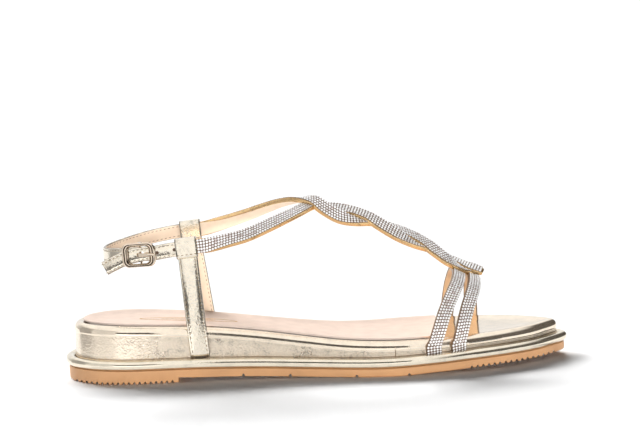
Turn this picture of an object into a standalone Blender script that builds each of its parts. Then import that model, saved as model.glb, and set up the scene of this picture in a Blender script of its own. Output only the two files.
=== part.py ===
"""T-strap sandal for the right foot, built piece by piece.

Lengths are in millimetres while the pieces are worked out and become metres
when a mesh is made.  `along` runs from the back of the heel to the toe,
`across` is negative on the outer (lateral) side and positive on the inner
(medial) side, and `height` is above the floor.
"""
import math
from collections import namedtuple

import bmesh
import bpy
from mathutils import Vector

MM = 0.001

# ---------------------------------------------------------------- sizes, mm
LENGTH = 253.5            # outsole, heel to toe
BALL_WIDTH = 80.0         # outsole, across the ball
HEEL_WIDTH = 64.0         # outsole, across the heel
HEEL_HEIGHT = 28.6        # top of the footbed at the back
BALL_HEIGHT = 17.0        # top of the footbed under the ball
INSTEP_HEIGHT = 83.0      # the two strands meet here, above the floor
GAP = 0.3                 # between pieces that meet

HEEL_BLOCK = 57.0         # front face of the heel block
BALL_CONTACT = 152.0      # the forefoot touches the floor from here
WELT_RADIUS = 2.4
WELT_INSET = 0.9          # centre of the rolled welt, inside the outsole's edge
MIDSOLE_INSET = WELT_INSET + WELT_RADIUS + GAP
RIM_RADIUS = 3.0
DISH = 1.4                # how far the footbed sinks towards its middle
SOCK_INSET = 8.4
SOCK_FRONT = 184.0
SOCK_THICKNESS = 1.1

STRAND_WIDTH, STRAND_THICKNESS = 7.4, 2.2
UPRIGHT_WIDTH, UPRIGHT_THICKNESS = 9.8, 1.7
HEEL_STRAP_WIDTH, HEEL_STRAP_THICKNESS = 7.3, 1.5
BILLET_WIDTH, BILLET_THICKNESS = 7.4, 1.3
TWIST_LIFT = 1.15         # how far a strand climbs over the other one
TWIST_DEPTH = 25.0        # the last's core, below the T-bar
TWIST_SPREAD = 1.06       # the strands lie a little wider here

# ------------------------------------------------------------------- tables
OutlineRow = namedtuple("OutlineRow", "along lateral medial")
# along: share of LENGTH; lateral, medial: share of half the heel's width up to
# the waist and of half the ball's width from there to the toe
OUTLINE = (
    OutlineRow(0.010, 0.38, 0.38),
    OutlineRow(0.033, 0.65, 0.65),
    OutlineRow(0.072, 0.88, 0.88),
    OutlineRow(0.126, 1.00, 1.00),
    OutlineRow(0.197, 1.00, 0.97),
    OutlineRow(0.296, 0.95, 0.86),
    OutlineRow(0.394, 0.98, 0.80),
    OutlineRow(0.493, 0.89, 0.67),
    OutlineRow(0.584, 1.00, 0.80),
    OutlineRow(0.651, 1.05, 0.925),
    OutlineRow(0.718, 1.02, 0.985),
    OutlineRow(0.781, 0.94, 0.97),
    OutlineRow(0.844, 0.80, 0.90),
    OutlineRow(0.899, 0.62, 0.765),
    OutlineRow(0.943, 0.41, 0.585),
    OutlineRow(0.977, 0.15, 0.385),
    OutlineRow(0.9935, 0.00, 0.245),
)
WAIST_SHARE = 0.45
TOE_TIP_ACROSS = 4.9

ProfileRow = namedtuple("ProfileRow", "along height")
OUTSOLE_BOTTOM = (        # toe spring, above the floor
    ProfileRow(0, 0.0), ProfileRow(168, 0.0), ProfileRow(182, 0.7),
    ProfileRow(199, 1.3), ProfileRow(218, 1.8), ProfileRow(254, 2.2),
)
WAIST_CLEARANCE = (       # the outsole's underside between heel block and ball
    ProfileRow(HEEL_BLOCK, 2.7), ProfileRow(68, 2.1), ProfileRow(83, 1.8),
    ProfileRow(108, 1.1), ProfileRow(133, 0.5), ProfileRow(BALL_CONTACT, 0.0),
)
OUTSOLE_TOP = (
    ProfileRow(0, 7.1), ProfileRow(30, 6.8), ProfileRow(60, 6.4),
    ProfileRow(93, 5.5), ProfileRow(143, 4.2), ProfileRow(165, 4.2),
    ProfileRow(187, 5.0), ProfileRow(208, 5.8), ProfileRow(254, 6.5),
)
FOOTBED = (               # the rim of the footbed
    ProfileRow(0, HEEL_HEIGHT + 0.4), ProfileRow(18, HEEL_HEIGHT + 0.3),
    ProfileRow(34, HEEL_HEIGHT - 0.2), ProfileRow(56, HEEL_HEIGHT - 1.3),
    ProfileRow(75, HEEL_HEIGHT - 2.7), ProfileRow(94, HEEL_HEIGHT - 4.9),
    ProfileRow(119, HEEL_HEIGHT - 8.2), ProfileRow(140, BALL_HEIGHT + 0.9),
    ProfileRow(160, BALL_HEIGHT), ProfileRow(190, BALL_HEIGHT),
    ProfileRow(212, BALL_HEIGHT + 0.4), ProfileRow(254, BALL_HEIGHT + 1.2),
)

# depth: how far below this point the last's core lies, so a small depth makes
# the band face sideways and a large one makes it face upwards; core: where
# that core is across the shoe; thick, wide: shares of the section
StrapRow = namedtuple("StrapRow", "along across height depth thick wide core",
                      defaults=(1.0, 1.0, 0.0))
LATERAL_ANKLE = (         # from the lateral loop to the T-bar
    StrapRow(75, -26.4, 67.9, 10, 1.1), StrapRow(84, -25.2, 69.5, 24, 1.15),
    StrapRow(94, -22.4, 71.5, 26, 1.15), StrapRow(104, -18.0, 74.9, 25, 1.15),
    StrapRow(113, -12.6, 78.1, 22, 1.15), StrapRow(120.0, -7.2, 80.5, 18, 1.15),
)
MEDIAL_ANKLE = (
    StrapRow(75, 26.4, 70.8, 9, 1.1), StrapRow(84, 24.9, 73.4, 20, 1.15),
    StrapRow(94, 21.9, 76.6, 24, 1.15), StrapRow(103, 17.4, 80.0, 26, 1.15),
    StrapRow(111.5, 11.6, 83.1, 26, 1.15), StrapRow(119.5, 5.0, 85.0, 23, 1.15),
)
# the T-bar's middle line; turns: half turns so far; reach: how far the strands
# swing apart; tilt: how far the T-bar leans to the outer side of the foot
RidgeRow = namedtuple("RidgeRow", "along height turns reach tilt")
RIDGE = (
    RidgeRow(127.7, INSTEP_HEIGHT + 0.9, 0.0, 2.0, 18), RidgeRow(134, 80.7, 0.25, 2.5, 29),
    RidgeRow(141.5, 77.9, 0.5, 3.2, 32), RidgeRow(149, 76.0, 0.75, 3.8, 24),
    RidgeRow(156.0, 73.9, 1.0, 3.8, 16), RidgeRow(163, 70.5, 1.25, 3.5, 19),
    RidgeRow(170.5, 66.6, 1.5, 3.2, 20), RidgeRow(178, 62.7, 1.75, 3.1, 18),
    RidgeRow(184.5, 59.1, 2.0, 3.5, 12), RidgeRow(190, 55.4, 2.25, 3.9, 9),
    RidgeRow(196.0, 51.5, 2.5, 4.1, 8), RidgeRow(202, 47.7, 2.75, 3.6, 7),
    RidgeRow(207.0, 45.8, 3.0, 3.4, 10),
)
LOOPED_TIP = (            # the strand on top ends over the front vamp strap
    StrapRow(209.6, -1.2, 46.0, 25, 1.1, 1.0, 5.0),
    StrapRow(211.8, -1.6, 45.1, 25, 1.0, 0.86, 5.0),
    StrapRow(212.8, -1.7, 44.5, 25, 0.85, 0.55, 5.0),
)
# one vamp strap over the foot, from its lateral foot to its medial one; lean
# is the share of the way from the strap's foot to its top
VampRow = namedtuple("VampRow", "side across height lean")
VAMP_ARC = (
    VampRow(-1, 1.000, 15.5, 0.05), VampRow(-1, 1.020, 21.0, 0.17),
    VampRow(-1, 0.985, 27.5, 0.32), VampRow(-1, 0.900, 33.5, 0.50),
    VampRow(-1, 0.760, 38.6, 0.70), VampRow(-1, 0.555, 42.6, 0.88),
    VampRow(-1, 0.300, 45.0, 0.98), VampRow(1, 0.000, 45.8, 1.00),
    VampRow(1, 0.300, 45.2, 0.96), VampRow(1, 0.555, 43.0, 0.88),
    VampRow(1, 0.760, 39.0, 0.74), VampRow(1, 0.900, 33.8, 0.55),
    VampRow(1, 0.985, 27.6, 0.37), VampRow(1, 1.020, 21.0, 0.20),
    VampRow(1, 1.000, 15.5, 0.05),
)
# rise: the strap's height over its feet, as a share of the table's; facing:
# the strap faces away from a line at this place along the shoe, set askew
VampStrap = namedtuple("VampStrap", "lateral_foot top medial_foot rise facing skew")
VAMP_STRAPS = (VampStrap(184.9, 200.2, 194.9, 0.990, 184.0, 0.15),
               VampStrap(197.3, 208.1, 208.0, 0.897, 193.0, 0.20))
VAMP_WIDE = 0.93

# facing: the upright faces away from a line at this place along the shoe
Upright = namedtuple("Upright", "side foot top loop_height facing")
LATERAL = Upright(-1, 68.2, 64.4, 67.1, 66.0)
MEDIAL = Upright(1, 71.0, 64.2, 69.2, 67.0)
LOOP_ACROSS = 27.2        # middle of each loop's slot
LOOP_LENGTH = 11.6
LOOP_SLOT = (3.5, 8.0)    # across the slot, along the upright
LOOP_WALL = 1.15
LOOP_SLOPE = math.radians(5.0)
TAB_THICKNESS = 1.1       # a strand's thinned end, under the belt in the loop

ANKLE_CENTRE = 64.0       # the belt straps face away from this upright axis
HEEL_STRAP = (            # from behind the medial loop round to the buckle
    StrapRow(50, 27.1, 67.7, 0), StrapRow(42, 24.6, 66.5, 0),
    StrapRow(34.4, 20.4, 65.1, 0), StrapRow(27.8, 14.6, 63.8, 0),
    StrapRow(23, 7.6, 62.9, 0), StrapRow(21.2, 0.0, 62.5, 0),
    StrapRow(22.4, -7.6, 62.7, 0), StrapRow(26, -14.2, 63.2, 0),
    StrapRow(31.2, -19.4, 63.8, 0), StrapRow(36.0, -21.9, 64.2, 0),
    StrapRow(39.8, -22.75, 64.4, 0),
)
BuckleRow = namedtuple("BuckleRow", "forward up")
BILLET_IN_BUCKLE = (
    BuckleRow(9.0, 0.4), BuckleRow(4.5, 0.3), BuckleRow(0.0, 0.0),
    BuckleRow(-4.5, -0.7), BuckleRow(-9.0, -1.9),
)
BILLET_TAIL = (
    StrapRow(26.5, -23.0, 59.8, 0), StrapRow(22.6, -22.2, 57.8, 0, 1, 0.97),
)
BILLET_HOLES = (58.2, 49.4)   # spare punched holes, along
HOLE_RADIUS = 0.9

BUCKLE_CENTRE = (40.4, -25.6, 64.5)
BUCKLE_HEADING = math.radians(-10.0)   # turned to lie along the ankle
BUCKLE_PITCH = math.radians(2.8)
BUCKLE_OUTER, BUCKLE_OPENING = (17.0, 12.1), (10.4, 8.7)
BUCKLE_CORNERS = (3.3, 2.0)
BUCKLE_FACE = (0.95, 2.45)   # inner and outer face, out from the billet's middle
BAR_RADIUS, BAR_DEPTH = 0.6, -2.75
EYE_RADIUS = 1.8

# ------------------------------------------------------------ small helpers
def place(along, across, height):
    """A point of the shoe, in metres, from its three lengths in mm."""
    return Vector(((along - LENGTH / 2) * MM, across * MM, height * MM))


def between(table, along):
    """Height of a ProfileRow table at a place along the shoe."""
    if along <= table[0].along:
        return table[0].height
    for low, high in zip(table, table[1:]):
        if along <= high.along:
            share = (along - low.along) / (high.along - low.along)
            return low.height + (high.height - low.height) * share
    return table[-1].height


def smooth_line(points, steps, closed=False):
    """Catmull-Rom line through points of any dimension (tuples)."""
    count = len(points)
    spans = count if closed else count - 1
    line = []
    for span in range(spans):
        if closed:
            four = [points[(span + k) % count] for k in (-1, 0, 1, 2)]
        else:
            four = [points[min(max(span + k, 0), count - 1)] for k in (-1, 0, 1, 2)]
        for step in range(steps):
            t = step / steps
            weights = (-0.5 * t + t * t - 0.5 * t ** 3, 1 - 2.5 * t * t + 1.5 * t ** 3,
                       0.5 * t + 2 * t * t - 1.5 * t ** 3, -0.5 * t * t + 0.5 * t ** 3)
            line.append(tuple(sum(w * p[i] for w, p in zip(weights, four))
                              for i in range(len(four[0]))))
    if not closed:
        line.append(tuple(points[-1]))
    return line


def evenly(line, spacing):
    """The same line with points about `spacing` apart (first three values)."""
    reach = [0.0]
    for a, b in zip(line, line[1:]):
        reach.append(reach[-1] + math.dist(a[:3], b[:3]))
    count = max(2, round(reach[-1] / spacing))
    result, k = [], 0
    for step in range(count + 1):
        goal = reach[-1] * step / count
        while k < len(line) - 2 and reach[k + 1] < goal:
            k += 1
        share = (goal - reach[k]) / max(reach[k + 1] - reach[k], 1e-9)
        result.append(tuple(a + (b - a) * share for a, b in zip(line[k], line[k + 1])))
    return result


def add_piece(name, points, faces, colour, metallic=0.0, roughness=0.5, smooth=30):
    """A closed body from points in metres, with its own material."""
    mesh = bpy.data.meshes.new(name)
    mesh.from_pydata([tuple(p) for p in points], [], faces)
    shell = bmesh.new()
    shell.from_mesh(mesh)
    bmesh.ops.recalc_face_normals(shell, faces=shell.faces)
    shell.to_mesh(mesh)
    shell.free()
    mesh.shade_smooth()
    mesh.set_sharp_from_angle(angle=math.radians(smooth))
    piece = bpy.data.objects.new(name, mesh)
    bpy.context.scene.collection.objects.link(piece)
    material = bpy.data.materials.new(name)
    material.use_nodes = True
    shader = material.node_tree.nodes["Principled BSDF"]
    shader.inputs["Base Color"].default_value = (*colour, 1.0)
    shader.inputs["Metallic"].default_value = metallic
    shader.inputs["Roughness"].default_value = roughness
    mesh.materials.append(material)
    return piece


def boolean(piece, other, operation):
    """Join or cut `piece` with a helper that is kept out of the renders."""
    other.hide_render = True
    other.display_type = "WIRE"
    step = piece.modifiers.new(other.name, "BOOLEAN")
    step.operation = operation
    step.solver = "EXACT"
    step.object = other
    return piece


# ------------------------------------------------------------- sole's shape
def outsole_curve():
    """Dense closed outline of the outsole as (along, across) points."""
    def half(row):
        return HEEL_WIDTH / 2 if row.along < WAIST_SHARE else BALL_WIDTH / 2
    lateral = [(LENGTH * r.along, -half(r) * r.lateral) for r in OUTLINE]
    medial = [(LENGTH * r.along, half(r) * r.medial) for r in OUTLINE]
    corners = [(0.0, 0.0)] + lateral + [(LENGTH, TOE_TIP_ACROSS)] + medial[::-1]
    return smooth_line(corners, 14, closed=True)


CURVE = outsole_curve()


def inset_sides(inset):
    """The outline moved inwards, split into its lateral and medial sides."""
    moved = []
    for index, point in enumerate(CURVE):
        before, after = CURVE[index - 1], CURVE[(index + 1) % len(CURVE)]
        run = math.hypot(after[0] - before[0], after[1] - before[1])
        inward = (-(after[1] - before[1]) / run, (after[0] - before[0]) / run)
        moved.append((point[0] + inset * inward[0], point[1] + inset * inward[1]))
    back = min(range(len(moved)), key=lambda k: moved[k][0])
    turned = moved[back:] + moved[:back]
    tip = max(range(len(turned)), key=lambda k: turned[k][0])
    return turned[:tip + 1], (turned[tip:] + turned[:1])[::-1]


def across_at(side, along):
    """Where one side of the outline is at a place along the shoe."""
    for a, b in zip(side, side[1:]):
        if a[0] <= along <= b[0] and b[0] > a[0]:
            return a[1] + (b[1] - a[1]) * (along - a[0]) / (b[0] - a[0])
    return side[0][1] if along < side[0][0] else side[-1][1]


def edge(along, side, inset):
    """Across position of the lateral (-1) or medial (1) edge, moved inwards."""
    return across_at(inset_sides(inset)[0 if side < 0 else 1], along)


def ring(inset, height, front=None, stations=33):
    """One level of a sole piece: rows of (along, lateral, medial, height)."""
    lateral, medial = inset_sides(inset)
    start, end = lateral[0][0], lateral[-1][0]
    rows = []
    for k in range(stations + 1):
        share = (1 - math.cos(math.pi * k / stations)) / 2
        if front is not None:
            share = 1 - math.cos(math.pi / 2 * k / stations)
        along = start + ((front or end) - start) * share
        rows.append((along, across_at(lateral, along), across_at(medial, along),
                     height(along)))
    if front is None:
        rows[-1] = (end, lateral[-1][1], lateral[-1][1], height(end))
    rows[0] = (start, lateral[0][1], lateral[0][1], height(start))
    return rows


def sole_piece(name, rings, colour, **finish):
    """A closed body through rings listed from its underside to its top."""
    flat_front = rings[0][-1][1] != rings[0][-1][2]
    points, faces, loops = [], [], []
    for rows in rings:
        loop = [(r[0], r[1], r[3]) for r in rows]
        other = rows[1:] if flat_front else rows[1:-1]
        loop += [(r[0], r[2], r[3]) for r in other[::-1]]
        loops.append(range(len(points), len(points) + len(loop)))
        points += [place(*p) for p in loop]
    for low, high in zip(loops, loops[1:]):
        count = len(low)
        for k in range(count):
            m = (k + 1) % count
            faces.append((low[k], low[m], high[m], high[k]))
    stations, count = len(rings[0]), len(loops[0])
    for loop in (loops[0], loops[-1]):
        for k in range(stations - 1):
            corners = [loop[k], loop[k + 1], loop[(count - k - 1) % count],
                       loop[(count - k) % count]]
            faces.append(tuple(dict.fromkeys(corners)))
    return add_piece(name, points, faces, colour, **finish)


def footbed(along, inset):
    """Height of the footbed: full at its rim, sunk towards the middle."""
    sink = min(max((inset - MIDSOLE_INSET - RIM_RADIUS) / 12.0, 0.0), 1.0)
    return between(FOOTBED, along) - DISH * math.sin(sink * math.pi / 2)


# ------------------------------------------------------------ straps' shape
def domed(width, thickness):
    """Section of a stone-set strand: upright edges, a face that hardly swells."""
    w, t = width / 2, thickness / 2
    return ((-w, -0.6 * t), (-0.9 * w, -t), (0.9 * w, -t), (w, -0.6 * t),
            (w, 0.4 * t), (0.86 * w, 0.85 * t), (0.0, t),
            (-0.86 * w, 0.85 * t), (-w, 0.4 * t))


def flat(width, thickness):
    """Section of a folded leather strap with turned, softened edges."""
    w, t = width / 2, thickness / 2
    return ((-w, -0.4 * t), (-w + 0.6 * t, -t), (w - 0.6 * t, -t), (w, -0.4 * t),
            (w, 0.4 * t), (w - 0.6 * t, t), (-w + 0.6 * t, t), (-w, 0.4 * t))


def grown(section, margin):
    """The same section with a margin all round, for the slot it sits in."""
    return tuple((a + math.copysign(margin, a) if abs(a) > 1e-6 else a,
                  b + math.copysign(margin, b)) for a, b in section)


def strap_line(rows, spacing=3.4):
    """StrapRows joined by a smooth line, with points evenly along it."""
    return evenly(smooth_line([tuple(r) for r in rows], 10), spacing)


def sweep(name, line, section, colour, facing=None, belt=False, skew=0.0, **finish):
    """A band along a line of points that have StrapRow's seven values.

    The band's outer face looks away from the last's core, a level line under
    the point.  `facing` moves that core along the shoe, and `skew` turns it
    askew.  A belt strap keeps its width upright.
    """
    spots = [Vector(p[:3]) for p in line]
    points, faces = [], []
    for index, spot in enumerate(spots):
        run = spots[min(index + 1, len(spots) - 1)] - spots[max(index - 1, 0)]
        run.normalize()
        lean = 0.0 if facing is None else spot.x - facing - skew * spot.y
        row = StrapRow(*line[index])
        outward = Vector((lean, spot.y - row.core, row.depth))
        if belt:
            level = run.cross(Vector((0, 0, 1)))
            outward = level if level.dot(outward) > 0 else -level
        outward = (outward - run * outward.dot(run)).normalized()
        width = run.cross(outward)
        for a, n in section:
            points.append(spot + width * (a * row.wide) + outward * (n * row.thick))
    count = len(section)
    for index in range(len(spots) - 1):
        base = index * count
        for k in range(count):
            m = (k + 1) % count
            faces.append((base + k, base + m, base + count + m, base + count + k))
    faces += [tuple(range(count)), tuple(range(len(points) - count, len(points)))]
    return add_piece(name, [place(*p) for p in points], faces, colour, **finish)


def foot_of_strap(along, side):
    """Rows that tuck a strap's end between the welt and the midsole."""
    crease = between(OUTSOLE_TOP, along) + GAP + 2 * WELT_RADIUS
    drops = ((-3.4, 6.6), (-1.0, 5.1), (1.2, 3.5), (3.6, 2.35))
    return [StrapRow(along, edge(along, side, inset), crease + drop, 0)
            for drop, inset in drops]


def slot_shape(ends, section):
    """Line and section of the slot that a strap's foot sits in."""
    first, second = Vector(ends[0][:3]), Vector(ends[1][:3])
    start = first + (first - second).normalized() * (1.8 * GAP + 0.05)
    line = [(*start, *ends[0][3:])] + list(ends)
    return line, grown(section, 1.8 * GAP)


def in_loop(part, layer, thick, reach=(-4.6, 0.0, 4.6)):
    """Rows that carry a strap straight through an upright's loop."""
    return [StrapRow(part.top + step, part.side * layer,
                     part.loop_height + step * math.tan(LOOP_SLOPE), 0, thick)
            for step in reach]


def vamp_rows(strap):
    """Rows of one vamp strap, from its lateral foot over to the medial one."""
    first = foot_of_strap(strap.lateral_foot, -1)
    last = foot_of_strap(strap.medial_foot, 1)
    base = {-1: first[-1], 1: last[-1]}
    rows = []
    for row in VAMP_ARC:
        foot = base[row.side]
        along = foot.along + (strap.top - foot.along) * row.lean
        height = VAMP_ARC[0].height + (row.height - VAMP_ARC[0].height) * strap.rise
        rows.append(StrapRow(along, foot.across * row.across, height,
                             max(row.height - BALL_HEIGHT, 0.0), 1.0, VAMP_WIDE))
    return first + rows + last[::-1]


def strand_rows(part, ankle):
    """Rows of one strand: along the ankle, then twisted down the instep."""
    side = -part.side
    thin = TAB_THICKNESS / STRAND_THICKNESS
    layer = LOOP_ACROSS - LOOP_SLOT[0] / 2 + GAP + TAB_THICKNESS / 2
    rows = in_loop(part, layer, thin, (-4.0, 1.0, 6.4)) + list(ankle)
    for row in RIDGE:
        turn, tilt = math.pi * row.turns, math.radians(row.tilt)
        lean, rise = math.cos(tilt), math.sin(tilt)
        swing = side * row.reach * math.sin(turn)
        lift = -side * TWIST_LIFT * math.cos(turn)
        rows.append(StrapRow(
            row.along, swing * lean - lift * rise,
            row.height + swing * rise + lift * lean,
            swing * rise + TWIST_DEPTH * lean, 1.2, TWIST_SPREAD, TWIST_DEPTH * rise))
    if rows[-1].height > RIDGE[-1].height:
        rows += LOOPED_TIP
    return rows


def prism(name, corners, low, high, colour, frame=None, **finish):
    """Extrude a closed outline; frame maps (u, v, w) to a point in mm."""
    count = len(corners)
    frame = frame or (lambda u, v, w: (u, w, v))
    points = [frame(u, v, w) for w in (low, high) for u, v in corners]
    faces = [tuple(range(count)), tuple(range(count, 2 * count))]
    for k in range(count):
        m = (k + 1) % count
        faces.append((k, m, count + m, count + k))
    return add_piece(name, [place(*p) for p in points], faces, colour, **finish)


def rounded(width, height, radius, steps=3):
    """Corners of a rounded rectangle about the origin."""
    corners = []
    for quarter, (sx, sy) in enumerate(((1, 1), (-1, 1), (-1, -1), (1, -1))):
        for k in range(steps + 1):
            angle = math.pi / 2 * (quarter + k / steps)
            corners.append((sx * (width / 2 - radius) + radius * math.cos(angle),
                            sy * (height / 2 - radius) + radius * math.sin(angle)))
    return corners


def circle(radius, steps, u=0.0, v=0.0):
    """Corners of a circle about the point (u, v)."""
    turns = [2 * math.pi * k / steps for k in range(steps)]
    return [(u + radius * math.cos(t), v + radius * math.sin(t)) for t in turns]


# ------------------------------------------------------------------- pieces
def build_sole():
    def bottom(along):
        return between(OUTSOLE_BOTTOM, along)

    def top(along):
        return between(OUTSOLE_TOP, along)

    outsole = sole_piece(
        "outsole",
        [ring(0.9, bottom), ring(0.1, lambda s: bottom(s) + 0.7),
         ring(0.0, lambda s: top(s) - 0.5), ring(0.5, top)],
        (0.58, 0.30, 0.12), roughness=0.6)
    under = [(r.along, r.height) for r in WAIST_CLEARANCE]
    under += [(BALL_CONTACT, -3.0), (HEEL_BLOCK, -3.0)]
    boolean(outsole, prism("waist_cutter", under, -60.0, 60.0, (1, 1, 1)), "DIFFERENCE")

    build_welt(lambda along: top(along) + GAP + WELT_RADIUS)

    def base(along):
        return top(along) + GAP

    def rim(along, drop):
        return between(FOOTBED, along) - drop

    r, at = RIM_RADIUS, MIDSOLE_INSET
    levels = [ring(at + 0.6, base), ring(at, lambda s: base(s) + 0.6)]
    for angle in (0, 30, 60, 90):
        turn = math.radians(angle)
        inset, drop = at + r * (1 - math.cos(turn)), r * (1 - math.sin(turn))
        levels.append(ring(inset, lambda s, d=drop: rim(s, d)))
    for inset in (SOCK_INSET + 2.5, SOCK_INSET + 8.0):
        levels.append(ring(inset, lambda s, i=inset: footbed(s, i)))
    midsole = sole_piece("midsole", levels, (0.78, 0.68, 0.50), metallic=0.9,
                         roughness=0.35)

    def sock(inset, lift, shorter):
        return ring(inset, lambda s: footbed(s, inset) + 1.3 * GAP + lift,
                    front=SOCK_FRONT - shorter, stations=24)

    thick = SOCK_THICKNESS
    sole_piece(
        "insole_sock",
        [sock(SOCK_INSET + 8.0, 0, 6), sock(SOCK_INSET + 2.5, 0, 2.5),
         sock(SOCK_INSET, 0, 0), sock(SOCK_INSET, 0.7 * thick, 0),
         sock(SOCK_INSET + 0.5, thick, 0.5), sock(SOCK_INSET + 2.5, thick, 2.5),
         sock(SOCK_INSET + 8.0, thick, 6)],
        (0.80, 0.62, 0.52), roughness=0.7)
    return midsole


def build_welt(middle):
    """The rolled welt: a round bead all the way round the outsole's edge."""
    rows = ring(WELT_INSET, middle, stations=42)
    loop = [(r[0], r[1], r[3]) for r in rows]
    loop += [(r[0], r[2], r[3]) for r in rows[1:-1][::-1]]
    count, sides = len(loop), 10
    points, faces = [], []
    for k, spot in enumerate(loop):
        before, after = Vector(loop[k - 1]), Vector(loop[(k + 1) % count])
        run = (after - before).normalized()
        out = Vector((run.y, -run.x, 0.0)).normalized()
        for side in range(sides):
            turn = 2 * math.pi * (side + 0.5) / sides
            offset = out * math.cos(turn) + Vector((0, 0, 1)) * math.sin(turn)
            points.append(place(*(Vector(spot) + offset * WELT_RADIUS)))
    for k in range(count):
        for side in range(sides):
            m, s = (k + 1) % count, (side + 1) % sides
            faces.append((k * sides + side, k * sides + s, m * sides + s,
                          m * sides + side))
    add_piece("welt", points, faces, (0.82, 0.72, 0.54), metallic=0.9,
              roughness=0.3, smooth=50)


def build_upper(midsole):
    """Two stone-set strands and two vamp straps, joined where they cross."""
    section = domed(STRAND_WIDTH, STRAND_THICKNESS)
    finish = dict(metallic=0.6, roughness=0.3)
    colour = (0.75, 0.72, 0.68)
    upper = sweep("upper", strap_line(strand_rows(MEDIAL, MEDIAL_ANKLE)), section,
                  colour, **finish)
    other = sweep("lateral_strand", strap_line(strand_rows(LATERAL, LATERAL_ANKLE)),
                  section, colour, **finish)
    boolean(upper, other, "UNION")
    for number, strap in enumerate(VAMP_STRAPS):
        line = strap_line(vamp_rows(strap), 3.8)
        band = sweep(f"vamp_strap_{number}", line, section, colour, strap.facing,
                     skew=strap.skew, **finish)
        boolean(upper, band, "UNION")
        for half, ends in (("lateral", line[:5]), ("medial", line[:-6:-1])):
            slot = sweep(f"slot_{half}_{number}", *slot_shape(ends, section), colour,
                         strap.facing, skew=strap.skew)
            boolean(midsole, slot, "DIFFERENCE")
    return upper


def build_uprights(midsole):
    """Folded leather uprights, each turned over into a loop at its top."""
    section = flat(UPRIGHT_WIDTH, UPRIGHT_THICKNESS)
    slot_depth, slot_height = LOOP_SLOT
    for name, part in (("lateral_upright", LATERAL), ("medial_upright", MEDIAL)):
        middle = part.side * LOOP_ACROSS
        below = part.loop_height - slot_height / 2 - LOOP_WALL / 2
        inner = middle - part.side * (slot_depth / 2 + LOOP_WALL / 2 - 0.2)
        rows = foot_of_strap(part.foot, part.side)
        low = rows[-1]
        for share in (0.3, 0.65, 1.0):
            rows.append(StrapRow(
                part.foot + (part.top - part.foot) * share,
                low.across + (inner - low.across) * share ** 2,
                low.height + (below - low.height) * share, 0))
        line = strap_line(rows, 5.0)
        upright = sweep(name, line, section, (0.80, 0.66, 0.42), part.facing,
                        metallic=0.9, roughness=0.3)
        slot = sweep(f"slot_{name}", *slot_shape(line[:5], section), (1, 1, 1),
                     part.facing)
        boolean(midsole, slot, "DIFFERENCE")

        def frame(u, v, w, part=part, middle=middle):
            rise, run = math.sin(LOOP_SLOPE), math.cos(LOOP_SLOPE)
            return (part.top + w * run - v * rise, middle + u,
                    part.loop_height + v * run + w * rise)

        outer = rounded(slot_depth + 2 * LOOP_WALL, slot_height + 2 * LOOP_WALL, 1.6)
        inner_hole = rounded(slot_depth, slot_height, 0.9)
        half = LOOP_LENGTH / 2
        loop = prism(f"loop_{name}", outer, -half, half, (1, 1, 1), frame)
        hole = prism(f"hole_{name}", inner_hole, -half - 1, half + 1, (1, 1, 1), frame)
        boolean(upright, loop, "UNION")
        boolean(upright, hole, "DIFFERENCE")


def buckle_frame(u, v, w):
    """Buckle axes to shoe: u forward along the strap, v up, w outward."""
    forward = Vector((math.cos(BUCKLE_HEADING) * math.cos(BUCKLE_PITCH),
                      math.sin(BUCKLE_HEADING) * math.cos(BUCKLE_PITCH),
                      math.sin(BUCKLE_PITCH)))
    outward = Vector((math.sin(BUCKLE_HEADING), -math.cos(BUCKLE_HEADING), 0.0))
    up = outward.cross(forward)
    up = up if up.z > 0 else -up
    return Vector(BUCKLE_CENTRE) + forward * u + up * v + outward * w


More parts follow.
